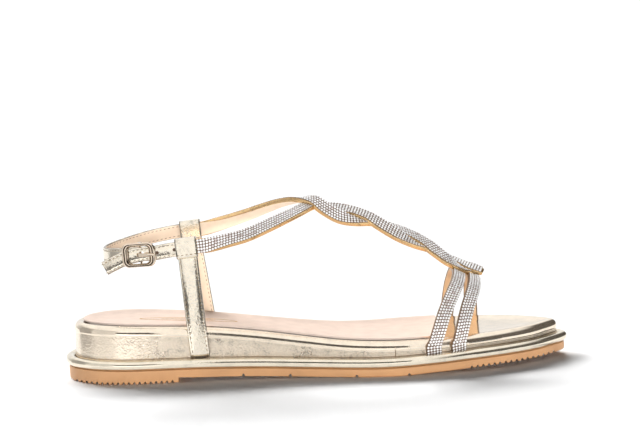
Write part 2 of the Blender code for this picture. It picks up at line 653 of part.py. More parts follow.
def build_buckle():
    gold = dict(metallic=1.0, roughness=0.2)
    low, high = BUCKLE_FACE
    frame = prism("buckle_frame", rounded(*BUCKLE_OUTER, BUCKLE_CORNERS[0], 5), low,
                  high, (0.9, 0.72, 0.42), buckle_frame, **gold)
    hole = prism("buckle_hole", rounded(*BUCKLE_OPENING, BUCKLE_CORNERS[1], 4),
                 low - 1, high + 1, (1, 1, 1), buckle_frame)
    boolean(frame, hole, "DIFFERENCE")

    def upright_axes(u, v, w):
        return buckle_frame(u, w, v)

    bar = prism("centre_bar", circle(BAR_RADIUS, 12, 0.0, BAR_DEPTH), -5.4, 5.4,
                (1, 1, 1), upright_axes)
    boolean(frame, bar, "UNION")
    for side in (-1, 1):
        ends = sorted((side * 4.75, side * 5.95))
        corners = [(-1.1, BAR_DEPTH - 0.9), (1.1, BAR_DEPTH - 0.9), (1.6, 1.6),
                   (-1.6, 1.6)]
        lug = prism(f"lug_{side}", corners, *ends, (1, 1, 1), upright_axes)
        boolean(frame, lug, "UNION")

    # the prong turns on the centre bar and lies on the front bar
    path = ((-0.4, -3.9), (-1.35, -2.9), (-1.5, -1.2), (-0.9, 0.6), (0.5, 1.9),
            (3.0, 2.7), (5.4, 3.3), (7.4, 3.35), (8.2, 3.1))
    widths = (1.6, 1.6, 1.6, 1.8, 1.9, 1.7, 1.5, 1.2, 0.8)
    points, faces = [], []
    for k, (u, w) in enumerate(path):
        ahead, behind = path[min(k + 1, len(path) - 1)], path[max(k - 1, 0)]
        du, dw = ahead[0] - behind[0], ahead[1] - behind[1]
        run = math.hypot(du, dw)
        nu, nw = -dw / run * 0.42, du / run * 0.42
        half = widths[k] / 2
        for side, v in ((1, half), (1, -half), (-1, -half), (-1, half)):
            points.append(place(*buckle_frame(u + side * nu, v, w + side * nw)))
        if k:
            base = 4 * (k - 1)
            for c in range(4):
                d = (c + 1) % 4
                faces.append((base + c, base + d, base + 4 + d, base + 4 + c))
    faces += [(0, 1, 2, 3), tuple(range(len(points) - 4, len(points)))]
    prong = add_piece("buckle_prong", points, faces, (0.92, 0.78, 0.5), **gold)
    sleeve = prism("prong_ring", circle(1.55, 14, 0.0, BAR_DEPTH), -0.8, 0.8,
                   (1, 1, 1), upright_axes)
    bore = prism("prong_bore", circle(BAR_RADIUS + GAP, 14, 0.0, BAR_DEPTH), -3, 3,
                 (1, 1, 1), upright_axes)
    boolean(prong, sleeve, "UNION")
    boolean(prong, bore, "DIFFERENCE")
    return upright_axes


def build_belt(upright_axes):
    """Heel strap with its eye round the buckle's bar, and the billet."""
    gold = dict(metallic=0.9, roughness=0.3)
    above_tab = LOOP_ACROSS - LOOP_SLOT[0] / 2 + 2 * GAP + TAB_THICKNESS
    rows = in_loop(MEDIAL, above_tab + HEEL_STRAP_THICKNESS / 2, 1,
                   (4.0, 0.0, -4.0, -8.0))
    strap = sweep("heel_strap", strap_line(rows + list(HEEL_STRAP), 4.0),
                  flat(HEEL_STRAP_WIDTH, HEEL_STRAP_THICKNESS), (0.8, 0.66, 0.42),
                  facing=ANKLE_CENTRE, belt=True, **gold)
    half = HEEL_STRAP_WIDTH / 2
    eye = prism("strap_eye", circle(EYE_RADIUS, 16, 0.0, BAR_DEPTH), -half, half,
                (1, 1, 1), upright_axes)
    bore = prism("eye_bore", circle(BAR_RADIUS + GAP, 14, 0.0, BAR_DEPTH), -half - 1,
                 half + 1, (1, 1, 1), upright_axes)
    slit = prism("prong_slit", rounded(6.4, 5.0, 0.6, 2), -1.15, 1.15, (1, 1, 1),
                 lambda u, v, w: buckle_frame(u, w, v + BAR_DEPTH))
    boolean(strap, eye, "UNION")
    boolean(strap, bore, "DIFFERENCE")
    boolean(strap, slit, "DIFFERENCE")

    rows = in_loop(LATERAL, above_tab + BILLET_THICKNESS / 2, 1,
                   (4.0, 0.0, -4.0, -9.0))
    for row in BILLET_IN_BUCKLE:
        rows.append(StrapRow(*buckle_frame(row.forward, row.up, 0.0), 0, 1))
    rows += BILLET_TAIL
    billet = sweep("billet", strap_line(rows, 4.0),
                   flat(BILLET_WIDTH, BILLET_THICKNESS), (0.8, 0.66, 0.42),
                   facing=ANKLE_CENTRE, belt=True, **gold)
    hole = prism("prong_hole", rounded(2.9, 3.0, 1.3, 3), -2, 2, (1, 1, 1),
                 lambda u, v, w: buckle_frame(u - 1.15, v, w))
    boolean(billet, hole, "DIFFERENCE")
    for number, along in enumerate(BILLET_HOLES):
        spot = min(strap_line(rows, 0.5), key=lambda p: abs(p[0] - along))
        punch = prism(f"punch_{number}", circle(HOLE_RADIUS, 10, spot[0], spot[2]),
                      spot[1] - 3, spot[1] + 3, (1, 1, 1))
        boolean(billet, punch, "DIFFERENCE")


def main():
    for old in list(bpy.data.objects):
        bpy.data.objects.remove(old, do_unlink=True)
    midsole = build_sole()
    build_upper(midsole)
    build_uprights(midsole)
    build_belt(build_buckle())


main()
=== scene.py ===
# %% [markdown]
# # Dressing a T-strap sandal
#
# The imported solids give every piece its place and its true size.  This lesson
# rebuilds each piece finer than a solid needs to be, and gives it the finish
# of the real thing: metallic leather, rows of set stones, stitches, a toothed
# rubber sole and a small plated buckle.
#
# Lengths are in millimetres while a piece is worked out.  `along` runs from
# the back of the heel to the toe, `across` is negative on the outer side of
# the foot, and `height` is above the floor.

# %% Load the frame
import math
from collections import namedtuple

import bmesh
import bpy
import numpy as np
from mathutils import Matrix, Vector


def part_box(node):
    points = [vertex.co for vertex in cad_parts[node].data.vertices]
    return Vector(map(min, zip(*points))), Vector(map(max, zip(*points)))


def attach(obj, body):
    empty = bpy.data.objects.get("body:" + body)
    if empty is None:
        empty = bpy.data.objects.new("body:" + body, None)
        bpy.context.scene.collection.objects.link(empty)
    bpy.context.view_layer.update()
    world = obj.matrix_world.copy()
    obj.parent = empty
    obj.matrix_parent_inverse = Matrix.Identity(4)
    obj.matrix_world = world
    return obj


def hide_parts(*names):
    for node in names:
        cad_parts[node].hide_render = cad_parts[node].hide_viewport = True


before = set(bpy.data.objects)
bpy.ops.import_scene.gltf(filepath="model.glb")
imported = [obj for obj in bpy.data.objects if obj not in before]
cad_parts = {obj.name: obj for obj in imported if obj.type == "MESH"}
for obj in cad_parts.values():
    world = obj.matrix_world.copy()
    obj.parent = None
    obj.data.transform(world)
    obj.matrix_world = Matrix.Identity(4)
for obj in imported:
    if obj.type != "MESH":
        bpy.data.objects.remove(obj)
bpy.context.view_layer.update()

MM = 0.001
sole_low, sole_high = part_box("outsole")
LENGTH = (sole_high.x - sole_low.x) / MM
print("solids:", sorted(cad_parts), "sole length", round(LENGTH, 1), "mm")

# %% [markdown]
# ## Rings of points
#
# A sole, a welt, a strap or a buckle can each be drawn as a closed ring that
# is carried along and changes on the way, with a skin stretched over the row
# of rings.  That keeps a shape in a few numbers, and the skin stays closed
# whatever the numbers are.  So one helper lays the skin, and every mesh has
# its faces turned outwards before it is handed over.

# %% Meshes from rings
pieces_made = {}


def to_frame(points):
    """Shoe lengths in mm (along, across, height) to metres in the frame."""
    points = np.asarray(points, float).reshape(-1, 3)
    return (points - (LENGTH / 2, 0.0, 0.0)) * MM


def add_mesh(name, points, faces=(), edges=(), material=None, crease=40):
    """A mesh object at the origin, smooth but for edges sharper than `crease`."""
    mesh = bpy.data.meshes.new(name)
    mesh.from_pydata(to_frame(points).tolist(), list(edges), list(faces))
    mesh.update()
    if faces:
        outwards = bmesh.new()
        outwards.from_mesh(mesh)
        bmesh.ops.recalc_face_normals(outwards, faces=outwards.faces)
        outwards.to_mesh(mesh)
        outwards.free()
        mesh.shade_smooth()
        mesh.set_sharp_from_angle(angle=math.radians(crease))
    if material:
        mesh.materials.append(material)
    piece = bpy.data.objects.new(name, mesh)
    bpy.context.scene.collection.objects.link(piece)
    return piece


def skin(rings, ends=True, loop=False):
    """Faces over an array of rings, shape (rings, points, 3)."""
    rows, count = rings.shape[:2]
    faces = []
    for r in range(rows if loop else rows - 1):
        a, b = r * count, (r + 1) % rows * count
        for k in range(count):
            m = (k + 1) % count
            faces.append((a + k, b + k, b + m, a + m))
    if ends and not loop:
        faces.append(tuple(range(count)))
        faces.append(tuple(range(rows * count - 1, (rows - 1) * count - 1, -1)))
    return faces


def skin_over(name, rings, material=None, loop=False, crease=40):
    """A mesh object whose skin runs over rings of points."""
    rings = np.asarray(rings, float)
    return add_mesh(name, rings.reshape(-1, 3), skin(rings, loop=loop),
                    material=material, crease=crease)


def circle(count):
    """The angles of `count` points round a circle."""
    return 2 * np.pi * np.arange(count) / count


print("a hexagon's corners stand at", np.degrees(circle(6)).round(), "degrees")

# %% [markdown]
# ## What goes along with a piece
#
# A finished piece is handed over with two facts: the body it rides on and the
# solids that it stands for.  A piece that only adds detail stands for none.
# Numbers that a material or a tree will need, such as where painted shade
# darkens the leather, are kept on the mesh's own points, so that they travel
# with it.

# %% Handing a piece over
def store_values(piece, name, values, kind="FLOAT"):
    """Let a mesh carry a number or a vector at each of its points."""
    store = piece.data.attributes.new(name, kind, "POINT")
    field = "vector" if kind == "FLOAT_VECTOR" else "value"
    store.data.foreach_set(field, np.asarray(values, np.float32).ravel())


def finish_piece(piece, stands_for=()):
    """Hand a finished piece to the frame, with the nodes it stands for."""
    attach(piece, "root")
    if stands_for:
        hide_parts(*stands_for)
    pieces_made[piece.name] = len(piece.data.polygons)
    return piece


print("pieces handed over so far:", len(pieces_made))

# %% [markdown]
# ## Nodes, read like a recipe
#
# A material is a small tree of nodes, and so is a Geometry Nodes modifier.
# Written out link by link, a tree is hard to read.  These helpers add one
# node each, fill its inputs with plain values or with what an earlier node
# gives, and hand back the output that the next line needs.

# %% Node helpers
def feed_node(tree, node, feed):
    """Fill a node's inputs: a socket is linked, a value is written in."""
    for key, value in feed.items():
        if isinstance(value, bpy.types.NodeSocket):
            tree.links.new(value, node.inputs[key])
        else:
            node.inputs[key].default_value = value
    return node


def add_node(tree, kind, feed=None, **settings):
    """A new node, with its settings made and its inputs filled."""
    node = tree.nodes.new(kind)
    for key, value in settings.items():
        setattr(node, key, value)
    return feed_node(tree, node, feed or {})


def maths(tree, operation, *values):
    """A sum, a difference, a product or the like of up to three values."""
    return add_node(tree, "ShaderNodeMath", dict(enumerate(values)),
                    operation=operation).outputs["Value"]


def remap(tree, value, feed, **settings):
    """A value carried from one range over to another, held at both ends."""
    return add_node(tree, "ShaderNodeMapRange", {"Value": value, **feed},
                    **settings).outputs["Result"]


def attribute(tree, name):
    """A number that the mesh carries at each of its points."""
    return add_node(tree, "ShaderNodeAttribute", attribute_name=name).outputs["Fac"]


print("node helpers:", [f.__name__ for f in (feed_node, add_node, maths, remap)])

# %% [markdown]
# ## Patterns in the piece's own space
#
# Wrinkles, pores and clouds are all noise at different sizes.  They could be
# images wrapped round each piece, but then their seams would show.  Noise that
# reads the place on the piece itself needs no wrapping, and its size can be
# given in millimetres.

# %% Patterns and relief
def noise(tree, where, scale, detail, **feed):
    """A cloudy pattern of values about one half."""
    feed = {"Vector": where, "Scale": scale, "Detail": detail, **feed}
    return add_node(tree, "ShaderNodeTexNoise", feed).outputs["Fac"]


def bump(tree, height, depth, strength=1.0, over=None):
    """Relief of `depth` mm, laid over another relief where one is given."""
    feed = {"Height": height, "Strength": strength, "Distance": depth * MM}
    if over is not None:
        feed["Normal"] = over
    return add_node(tree, "ShaderNodeBump", feed).outputs["Normal"]


def colour_ramp(tree, factor, *stops):
    """A colour ramp through (position, colour) stops."""
    ramp = add_node(tree, "ShaderNodeValToRGB", {"Fac": factor})
    elements = ramp.color_ramp.elements
    while len(elements) < len(stops):
        elements.new(0.5)
    for element, (position, colour) in zip(elements, stops):
        element.position = position
        element.color = (*colour, 1.0)
    return ramp.outputs["Color"]


def shade(colour, share):
    """A colour made darker, or lighter where the share is over one."""
    return tuple(min(c * share, 1.0) for c in colour)


def new_material(name):
    """An empty material: itself, its tree, its shader and the place on the piece."""
    material = bpy.data.materials.new(name)
    material.use_nodes = True
    tree = material.node_tree
    where = add_node(tree, "ShaderNodeTexCoord").outputs["Object"]
    return material, tree, tree.nodes["Principled BSDF"], where


print("a gold at half its brightness:", shade((0.88, 0.80, 0.66), 0.5))

# %% [markdown]
# ## Foil leather
#
# Foil-coated leather is a mirror with wrinkles.  One could paint its light and
# dark, but then it would look the same from every side.  Here the wrinkles go
# into the relief instead: tiny slopes tip the reflection towards a bright or a
# dark part of the room.  They fade out where the mesh's `pulled` says that the
# hide is stretched over an edge.  Some shade is painted all the same: a value
# that the mesh carries darkens the foil along the straps' edges and inside the
# ankle loops, as painted shade.  The tone also drops in the cracks.

# %% Foil leather
FOLD_SIZE = 5.0           # mm, of the broad soft folds


def foil_leather(name, colour, roughness=0.28, grain=1.0, depth=0.5, smooth=0.10,
                 fold=0.0, crack=0.2):
    """Metallic leather: crackle that fades out where the hide is pulled smooth.

    grain is the size of the wrinkles and depth their height, in mm; smooth is
    the roughness of pulled leather; fold is the height of broad, soft folds;
    crack says how far the foil darkens in its cracks.
    """
    material, tree, shader, where = new_material(name)
    pulled = attribute(tree, "pulled")
    wrinkled = remap(tree, pulled, {"To Min": 1.0, "To Max": 0.04})
    creases = noise(tree, where, 1.0 / (grain * MM), 2.0, Roughness=0.55,
                    Distortion=0.4)
    folds = noise(tree, where, 1.0 / (FOLD_SIZE * MM), 2.0)
    mottle = noise(tree, where, 180.0, 5.0)

    cracked = remap(tree, creases, {"From Min": 0.58, "From Max": 0.43, "To Max": crack})
    darkening = maths(tree, "MULTIPLY", cracked, wrinkled)
    # Painted shade: the foil is darker where the mesh's shade value is high, along strap
    # edges and inside the loops.
    darkening = maths(tree, "MULTIPLY_ADD", attribute(tree, "edge_wear"), 0.45, darkening)
    bright = maths(tree, "SUBTRACT", mottle, darkening)
    tone = colour_ramp(tree, bright, (0.0, shade(colour, 0.38)),
                       (0.33, shade(colour, 0.93)), (0.55, colour),
                       (0.75, shade(colour, 1.05)))

    wear_and_shade = remap(tree, mottle, {"To Min": roughness - 0.04, "To Max": roughness + 0.06})
    gloss = remap(tree, pulled, {"To Min": wear_and_shade, "To Max": smooth})
    relief = bump(tree, creases, depth, wrinkled, over=bump(tree, folds, fold))
    feed_node(tree, shader, {"Base Color": tone, "Roughness": gloss,
                             "Normal": relief, "Metallic": 0.94})
    return material


champagne = foil_leather("champagne_leather", (0.90, 0.785, 0.64))
champagne_roll = foil_leather("champagne_rolled", (0.84, 0.76, 0.62), 0.10, 1.8, 0.02,
                              crack=0.0)
gold = foil_leather("pale_gold_leather", (0.88, 0.80, 0.67), 0.15, 1.3, 0.12, fold=0.07,
                    crack=0.1)
gold_edge = foil_leather("gold_turned_edge", (0.80, 0.55, 0.28), 0.24, 0.8, 0.05)
bronze_edge = foil_leather("bronze_turned_edge", (0.36, 0.25, 0.16), 0.34, 0.8, 0.05)
print("foils:", [m.name for m in (champagne, champagne_roll, gold, gold_edge,
                                  bronze_edge)])

# %% [markdown]
# ## Linings and sock
#
# What lies against the foot is plain leather, without foil.  Its pores are the
# cells of a Voronoi pattern, which are round and close together as real pores
# are; a soft noise clouds the dye.  It needs no mirror, only a little sheen.

# %% Plain leather
def plain_leather(name, colour, roughness, cell, depth, sheen=0.15, gloss=0.35):
    """Aniline leather with pores `cell` mm wide and `depth` mm deep."""
    material, tree, shader, where = new_material(name)
    cells = add_node(tree, "ShaderNodeTexVoronoi",
                     {"Vector": where, "Scale": 1.0 / (cell * MM), "Randomness": 1.0},
                     feature="DISTANCE_TO_EDGE").outputs["Distance"]
    pores = remap(tree, cells, {"From Max": 0.35}, interpolation_type="SMOOTHSTEP")
    soft = noise(tree, where, 1.0 / (6.0 * MM), 3.0)
    tone = colour_ramp(tree, soft, (0.3, shade(colour, 0.94)), (0.7, shade(colour, 1.04)))
    feed_node(tree, shader, {"Base Color": tone, "Normal": bump(tree, pores, depth),
                             "Roughness": roughness, "Sheen Weight": sheen,
                             "Specular IOR Level": gloss})
    return material


# The amber lining is a darker, warmer copy of the peach lining, for the vamp straps: painted
# shade.
amber_lining = plain_leather("amber_lining", (0.92, 0.62, 0.36), 0.55, 0.6, 0.02)
lining = plain_leather("peach_lining", (1.0, 0.79, 0.61), 0.6, 0.6, 0.02)
sock_leather = plain_leather("sock_leather", (0.68, 0.555, 0.48), 0.5, 0.9, 0.015,
                             sheen=0.0, gloss=0.0)
print("linings:", [m.name for m in (amber_lining, lining, sock_leather)])

# %% [markdown]
# ## Rubber and plated metal
#
# The sole is moulded rubber the colour of caramel, matt, with a faint cloudy
# mottle and the sandy skin of a blasted mould.  The buckle is pale gold plate
# and the stones' cups are silver.  The casting is painted darker in its groove,
# its basin and on its back, as painted shade: a value on the mesh says where.

# %% Rubber and metal
def moulded_rubber(name, colour):
    """Matt rubber with a cloudy tone and a sandy skin."""
    material, tree, shader, where = new_material(name)
    tone = colour_ramp(tree, noise(tree, where, 60.0, 6.0), (0.3, shade(colour, 0.9)),
                       (0.7, shade(colour, 1.1)))
    sand = bump(tree, noise(tree, where, 2500.0, 2.0), 0.03)
    feed_node(tree, shader, {"Base Color": tone, "Normal": sand, "Roughness": 0.5})
    return material


def plated_metal(name, colour, roughness, shade_colour=(0.10, 0.07, 0.045)):
    """Plating, hazy with handling, painted dark as shade where the mesh says so."""
    material, tree, shader, where = new_material(name)
    haze = noise(tree, where, 900.0, 3.0)
    tone = colour_ramp(tree, haze, (0.3, shade(colour, 0.95)), (0.7, colour))
    # Painted shade: the plate turns dark brown where the mesh's shade value is high.
    mixed = add_node(tree, "ShaderNodeMix",
                     {"Factor": attribute(tree, "hollow_shade"), 6: tone,
                      7: (*shade_colour, 1.0)}, data_type="RGBA").outputs[2]
    wear_and_shade = remap(tree, haze, {"To Min": roughness * 0.7, "To Max": roughness * 1.4})
    feed_node(tree, shader, {"Base Color": mixed, "Roughness": wear_and_shade, "Metallic": 1.0})
    return material


caramel = moulded_rubber("caramel_rubber", (0.60, 0.325, 0.155))
dark_mesh = moulded_rubber("dark_mesh", (0.15, 0.095, 0.065))
plate = plated_metal("pale_gold_plate", (0.84, 0.71, 0.57), 0.12)
silver = plated_metal("silver_cups", (0.52, 0.42, 0.34), 0.38)
print("rubber and metal:", [m.name for m in (caramel, dark_mesh, plate, silver)])

# %% [markdown]
# ## Stones and thread
#
# The stones are glass with foil behind.  Real glass would need many bounces
# of light inside each of nearly two thousand stones, so they are bright solids
# under a clear coat that glow a little by themselves, a painted light in place
# of those bounces, and each has a tint of its own that the setting stores.  The
# thread is waxed and twisted, which a slanting wave gives.

# %% Stones and thread
def set_glass(name):
    """Foil-backed stones: bright, glossy, with a tint of its own each, and a faint painted
    glow.
    """
    material, tree, shader, _ = new_material(name)
    tone = colour_ramp(tree, attribute(tree, "tint"), (0.0, (0.66, 0.58, 0.55)),
                       (0.2, (0.95, 0.93, 0.92)), (1.0, (1.0, 1.0, 1.0)))
    feed_node(tree, shader, {"Base Color": tone, "Roughness": 0.12, "Metallic": 0.25,
                             "Coat Weight": 1.0, "Coat Roughness": 0.04,
                             # Painted light: the stones glow a little by themselves.
                             "Emission Color": (1.0, 0.97, 0.95, 1.0),
                             "Emission Strength": 0.10})
    return material


def waxed_thread(name, colour):
    """Thread whose strands show as slanting bands."""
    material, tree, shader, where = new_material(name)
    twist = add_node(tree, "ShaderNodeTexWave",
                     {"Vector": where, "Scale": 900.0, "Distortion": 1.0},
                     bands_direction="DIAGONAL").outputs["Fac"]
    tone = colour_ramp(tree, twist, (0.2, shade(colour, 0.7)), (0.8, colour))
    feed_node(tree, shader, {"Base Color": tone, "Roughness": 0.65})
    return material


crystal = set_glass("foiled_stones")
gold_thread = waxed_thread("gold_thread", (0.26, 0.18, 0.09))
peach_thread = waxed_thread("peach_thread", (0.44, 0.26, 0.16))
print("materials in all:", len(bpy.data.materials))

# %% [markdown]
# ## Smooth lines through a few measures
#
# A last maker draws a shoe with a few measures and smooth curves through
# them.  A Bezier curve would only come near its handles.  A Catmull-Rom line
# passes exactly through each point, so a short table of measures is enough.

# %% Smooth lines
def smooth_line(points, steps=12, closed=False):
    """Catmull-Rom line through rows of numbers, as an array."""
    rows = np.array([tuple(p) for p in points], float)
    count = len(rows)
    t = (np.arange(steps) / steps)[:, None]
    weights = (-0.5 * t + t * t - 0.5 * t ** 3, 1 - 2.5 * t * t + 1.5 * t ** 3,
               0.5 * t + 2 * t * t - 1.5 * t ** 3, -0.5 * t * t + 0.5 * t ** 3)
    line = []
    for span in range(count if closed else count - 1):
        near = [span - 1, span, span + 1, span + 2]
        near = [k % count if closed else min(max(k, 0), count - 1) for k in near]
        line.append(sum(w * rows[k] for w, k in zip(weights, near)))
    if not closed:
        line.append(rows[-1:])
    return np.concatenate(line)


def evenly(line, spacing):
    """The same line with points about `spacing` apart, by its first three values."""
    steps = np.linalg.norm(np.diff(line[:, :3], axis=0), axis=1)
    reach = np.concatenate([[0.0], np.cumsum(steps)])
    goals = np.linspace(0.0, reach[-1], max(3, round(reach[-1] / spacing) + 1))
    return np.stack([np.interp(goals, reach, column) for column in line.T], axis=1)


def profile(*rows):
    """A smooth function of `along` through (along, height) rows."""
    line = smooth_line(rows, 8)
    return lambda along: np.interp(along, line[:, 0], line[:, 1])


print("a line through 3 points, 4 steps each:",
      len(smooth_line([(0, 0), (1, 2), (3, 3)], 4)), "points")

# %% [markdown]
# ## The last in numbers
#
# The sole's length, the widths of heel and ball, and the heights of the
# footbed drive everything.  The outline's table gives shares of them, so that
# another size keeps the same shape.  The profiles say how high the outsole and
# the rim of the footbed are at each place along the foot: the sole springs up
# at the toe, and the footbed falls from heel to ball.

# %% Measures of the last
HEEL_WIDTH, BALL_WIDTH = 64.0, 80.0
HEEL_HEIGHT, BALL_HEIGHT = 28.6, 17.0
GAP = 0.3
OutlineRow = namedtuple("OutlineRow", "along lateral medial")
OUTLINE = (               # shares: of the length, and of half the heel or ball width
    OutlineRow(0.010, 0.38, 0.38), OutlineRow(0.033, 0.65, 0.65),
    OutlineRow(0.072, 0.88, 0.88), OutlineRow(0.126, 1.00, 1.00),
    OutlineRow(0.197, 1.00, 0.97), OutlineRow(0.296, 0.95, 0.86),
    OutlineRow(0.394, 0.98, 0.80), OutlineRow(0.493, 0.89, 0.67),
    OutlineRow(0.584, 1.00, 0.80), OutlineRow(0.651, 1.05, 0.925),
    OutlineRow(0.718, 1.02, 0.985), OutlineRow(0.781, 0.94, 0.97),
    OutlineRow(0.844, 0.80, 0.90), OutlineRow(0.899, 0.62, 0.765),
    OutlineRow(0.943, 0.41, 0.585), OutlineRow(0.977, 0.15, 0.385),
    OutlineRow(0.9935, 0.00, 0.245),
)
WAIST_SHARE = 0.45        # the ball's width counts from here on
TOE_TIP_ACROSS = 4.9

toe_spring = profile((0, 0), (150, 0), (160, 0), (168, 0), (175, 0.33), (182, 0.7),
                     (199, 1.3), (218, 1.8), (254, 2.2))
outsole_top = profile((0, 7.1), (30, 6.8), (60, 6.4), (93, 5.5), (143, 4.2),
                      (165, 4.2), (187, 5.0), (208, 5.8), (254, 6.5))
footbed_rim = profile(
    (0, HEEL_HEIGHT + 0.4), (18, HEEL_HEIGHT + 0.3), (34, HEEL_HEIGHT - 0.2),
    (56, HEEL_HEIGHT - 1.3), (75, HEEL_HEIGHT - 2.7), (94, HEEL_HEIGHT - 4.9),
    (119, HEEL_HEIGHT - 8.2), (140, BALL_HEIGHT + 0.9), (160, BALL_HEIGHT),
    (190, BALL_HEIGHT), (212, BALL_HEIGHT + 0.4), (254, BALL_HEIGHT + 1.2))


def outsole_bottom(along):
    """Flat under heel and ball, then the toe spring."""
    return np.maximum(toe_spring(along), 0.0)


print("footbed, mm high:", [round(float(footbed_rim(LENGTH * s)), 1)
                            for s in (0.1, 0.5, 0.7)], "at heel, waist and ball")

# %% [markdown]
# ## The outline of the sole
#
# Seen from above, a right sole bulges at the little toe's side, draws in at
# the waist and comes to its tip nearer the big toe.  The table's shares become
# one closed line.  Moved inwards, it gives the margin of every piece on top,
# and `edge` says where its side is, for straps and cards alike.

# %% Outline of the sole
def outline_curve():
    """Dense outline of the outsole, from the heel down the outer side."""
    def half(row):
        return (HEEL_WIDTH if row.along < WAIST_SHARE else BALL_WIDTH) / 2
    lateral = [(LENGTH * r.along, -half(r) * r.lateral) for r in OUTLINE]
    medial = [(LENGTH * r.along, half(r) * r.medial) for r in OUTLINE]
    corners = [(0.0, 0.0)] + lateral + [(LENGTH, TOE_TIP_ACROSS)] + medial[::-1]
    return smooth_line(corners, 24, closed=True)


CURVE = outline_curve()


def sides(inset):
    """The outline moved inwards, as its lateral and its medial side."""
    run = np.roll(CURVE, -1, axis=0) - np.roll(CURVE, 1, axis=0)
    run /= np.linalg.norm(run, axis=1)[:, None]
    moved = CURVE + inset * np.stack([-run[:, 1], run[:, 0]], axis=1)
    turned = np.roll(moved, -int(np.argmin(moved[:, 0])), axis=0)
    tip = int(np.argmax(turned[:, 0]))
    return turned[:tip + 1], np.concatenate([turned[tip:], turned[:1]])[::-1]


def edge(along, side, inset):
    """Across position of the lateral (-1) or medial (1) edge, moved inwards."""
    line = sides(inset)[0 if side < 0 else 1]
    return float(np.interp(along, line[:, 0], line[:, 1]))


print("outline:", len(CURVE), "points, widest", round(np.ptp(CURVE[:, 1]), 1), "mm")

# %% [markdown]
# ## The sole's pieces are stacks of outlines
#
# Outsole, midsole and sock are all cut or moulded to the same outline, each
# moved inwards by its own margin.  One could extrude the outline, but then top
# and bottom would be flat and the edge sharp.  A piece is instead a stack of
# such outlines, each with its own margin and height, closed below and above.

# %% Stacked outlines
def level(inset, height, front=None, stations=150):
    """One closed loop of a sole piece; stations crowd towards its ends."""
    lateral, medial = sides(inset)
    start, end = lateral[0, 0], lateral[-1, 0]
    turn = np.arange(stations + 1) / stations
    if front is None:
        along = start + (end - start) * (1 - np.cos(np.pi * turn)) / 2
    else:
        along = start + (front - start) * (1 - np.cos(np.pi / 2 * turn))
    outer = np.interp(along, lateral[:, 0], lateral[:, 1])
    inner = np.interp(along, medial[:, 0], medial[:, 1])
    outer[0] = inner[0] = lateral[0, 1]
    if front is None:
        outer[-1] = inner[-1] = lateral[-1, 1]
    rise = height(along)
    one = np.stack([along, outer, rise], axis=1)
    other = np.stack([along, inner, rise], axis=1)
    back = other[1:] if front is not None else other[1:-1]
    return np.concatenate([one, back[::-1]])


def stacked(name, levels, material, stations=150, crease=40):
    """A closed piece through levels listed from its underside to its top."""
    rings = np.array(levels)
    count = rings.shape[1]
    faces = [face[::-1] for face in skin(rings, ends=False)]
    for row, flip in ((0, True), (len(rings) - 1, False)):
        base = row * count
        for k in range(stations):
            corners = (k, k + 1, (count - k - 1) % count, (count - k) % count)
            face = [base + c for c in dict.fromkeys(corners)]
            faces.append(tuple(face[::-1] if flip else face))
    return add_mesh(name, rings.reshape(-1, 3), faces, material=material, crease=crease)


print("one level has", len(level(0.0, outsole_top)), "points")

# %% [markdown]
# ## Trees that end as plain meshes
#
# What repeats on a shoe, such as grooves, stones and stitches, is laid out by
# a tree of Geometry Nodes: it puts one small shape at every point of a line,
# and its named inputs set size, spacing and seed.  A piece that leaves Blender
# must be a mesh, though.  So each tree makes its instances real at its end,
# the result is copied to a plain mesh, and the carrier goes with its modifier.

# %% Helpers for the trees
def node_group(name, *inputs):
    """A geometry tree with named inputs; returns it and its input node."""
    tree = bpy.data.node_groups.new(name, "GeometryNodeTree")
    tree.interface.new_socket("Geometry", in_out="OUTPUT",
                              socket_type="NodeSocketGeometry")
    tree.interface.new_socket("Geometry", in_out="INPUT",
                              socket_type="NodeSocketGeometry")
    for label, kind in inputs:
        tree.interface.new_socket(label, in_out="INPUT", socket_type="NodeSocket" + kind)
    return tree, tree.nodes.new("NodeGroupInput")


def close_tree(tree, geometry, material=None):
    """Realize what was instanced, give it its material, and end the tree."""
    real = add_node(tree, "GeometryNodeRealizeInstances", {"Geometry": geometry})
    last = real.outputs["Geometry"]
    if material:
        last = add_node(tree, "GeometryNodeSetMaterial",
                        {"Geometry": last, "Material": material}).outputs["Geometry"]
    add_node(tree, "NodeGroupOutput", {"Geometry": last})


def run_tree(carrier, tree, name, **values):
    """Run a tree on a carrier and keep the result as a plain mesh object."""
    step = carrier.modifiers.new("tree", "NODES")
    step.node_group = tree
    for item in tree.interface.items_tree:
        key = item.name.replace(" ", "_").lower()
        if item.in_out == "INPUT" and key in values:
            step[item.identifier] = values[key]
    graph = bpy.context.evaluated_depsgraph_get()
    mesh = bpy.data.meshes.new_from_object(carrier.evaluated_get(graph))
    mesh.name = name
    result = bpy.data.objects.new(name, mesh)
    bpy.context.scene.collection.objects.link(result)
    bpy.data.objects.remove(carrier)
    return result


print("a tree's inputs are set by their identifiers, before it is first run")

# %% [markdown]
# ## Outsole
#
# A moulded rubber unit.  Its tread is a row of grooves right across the heel
# and the forefoot, which shows at the edge as small teeth; between them the
# waist is hollowed, so that the sole bends there.  Teeth could be modelled one
# by one, but they must end flush with the curved edge.  So a tree lays round
# bars in a line, one for each groove, and a Boolean cuts them all at once.

# %% A tree for the tread
HEEL_BLOCK = 57.0
BALL_CONTACT = 152.0
TREAD = ((5.0, 55.0, 2.72), (203.5, 249.0, 2.9))   # first, last, pitch
GROOVE_RADIUS, GROOVE_STRETCH, GROOVE_RISE = 0.68, 1.8, 0.12
GROOVE_LENGTH = 110.0     # mm, right across the sole and past it
WAIST_NICKS = (89.5, 113.0, 146.0, 172.0)


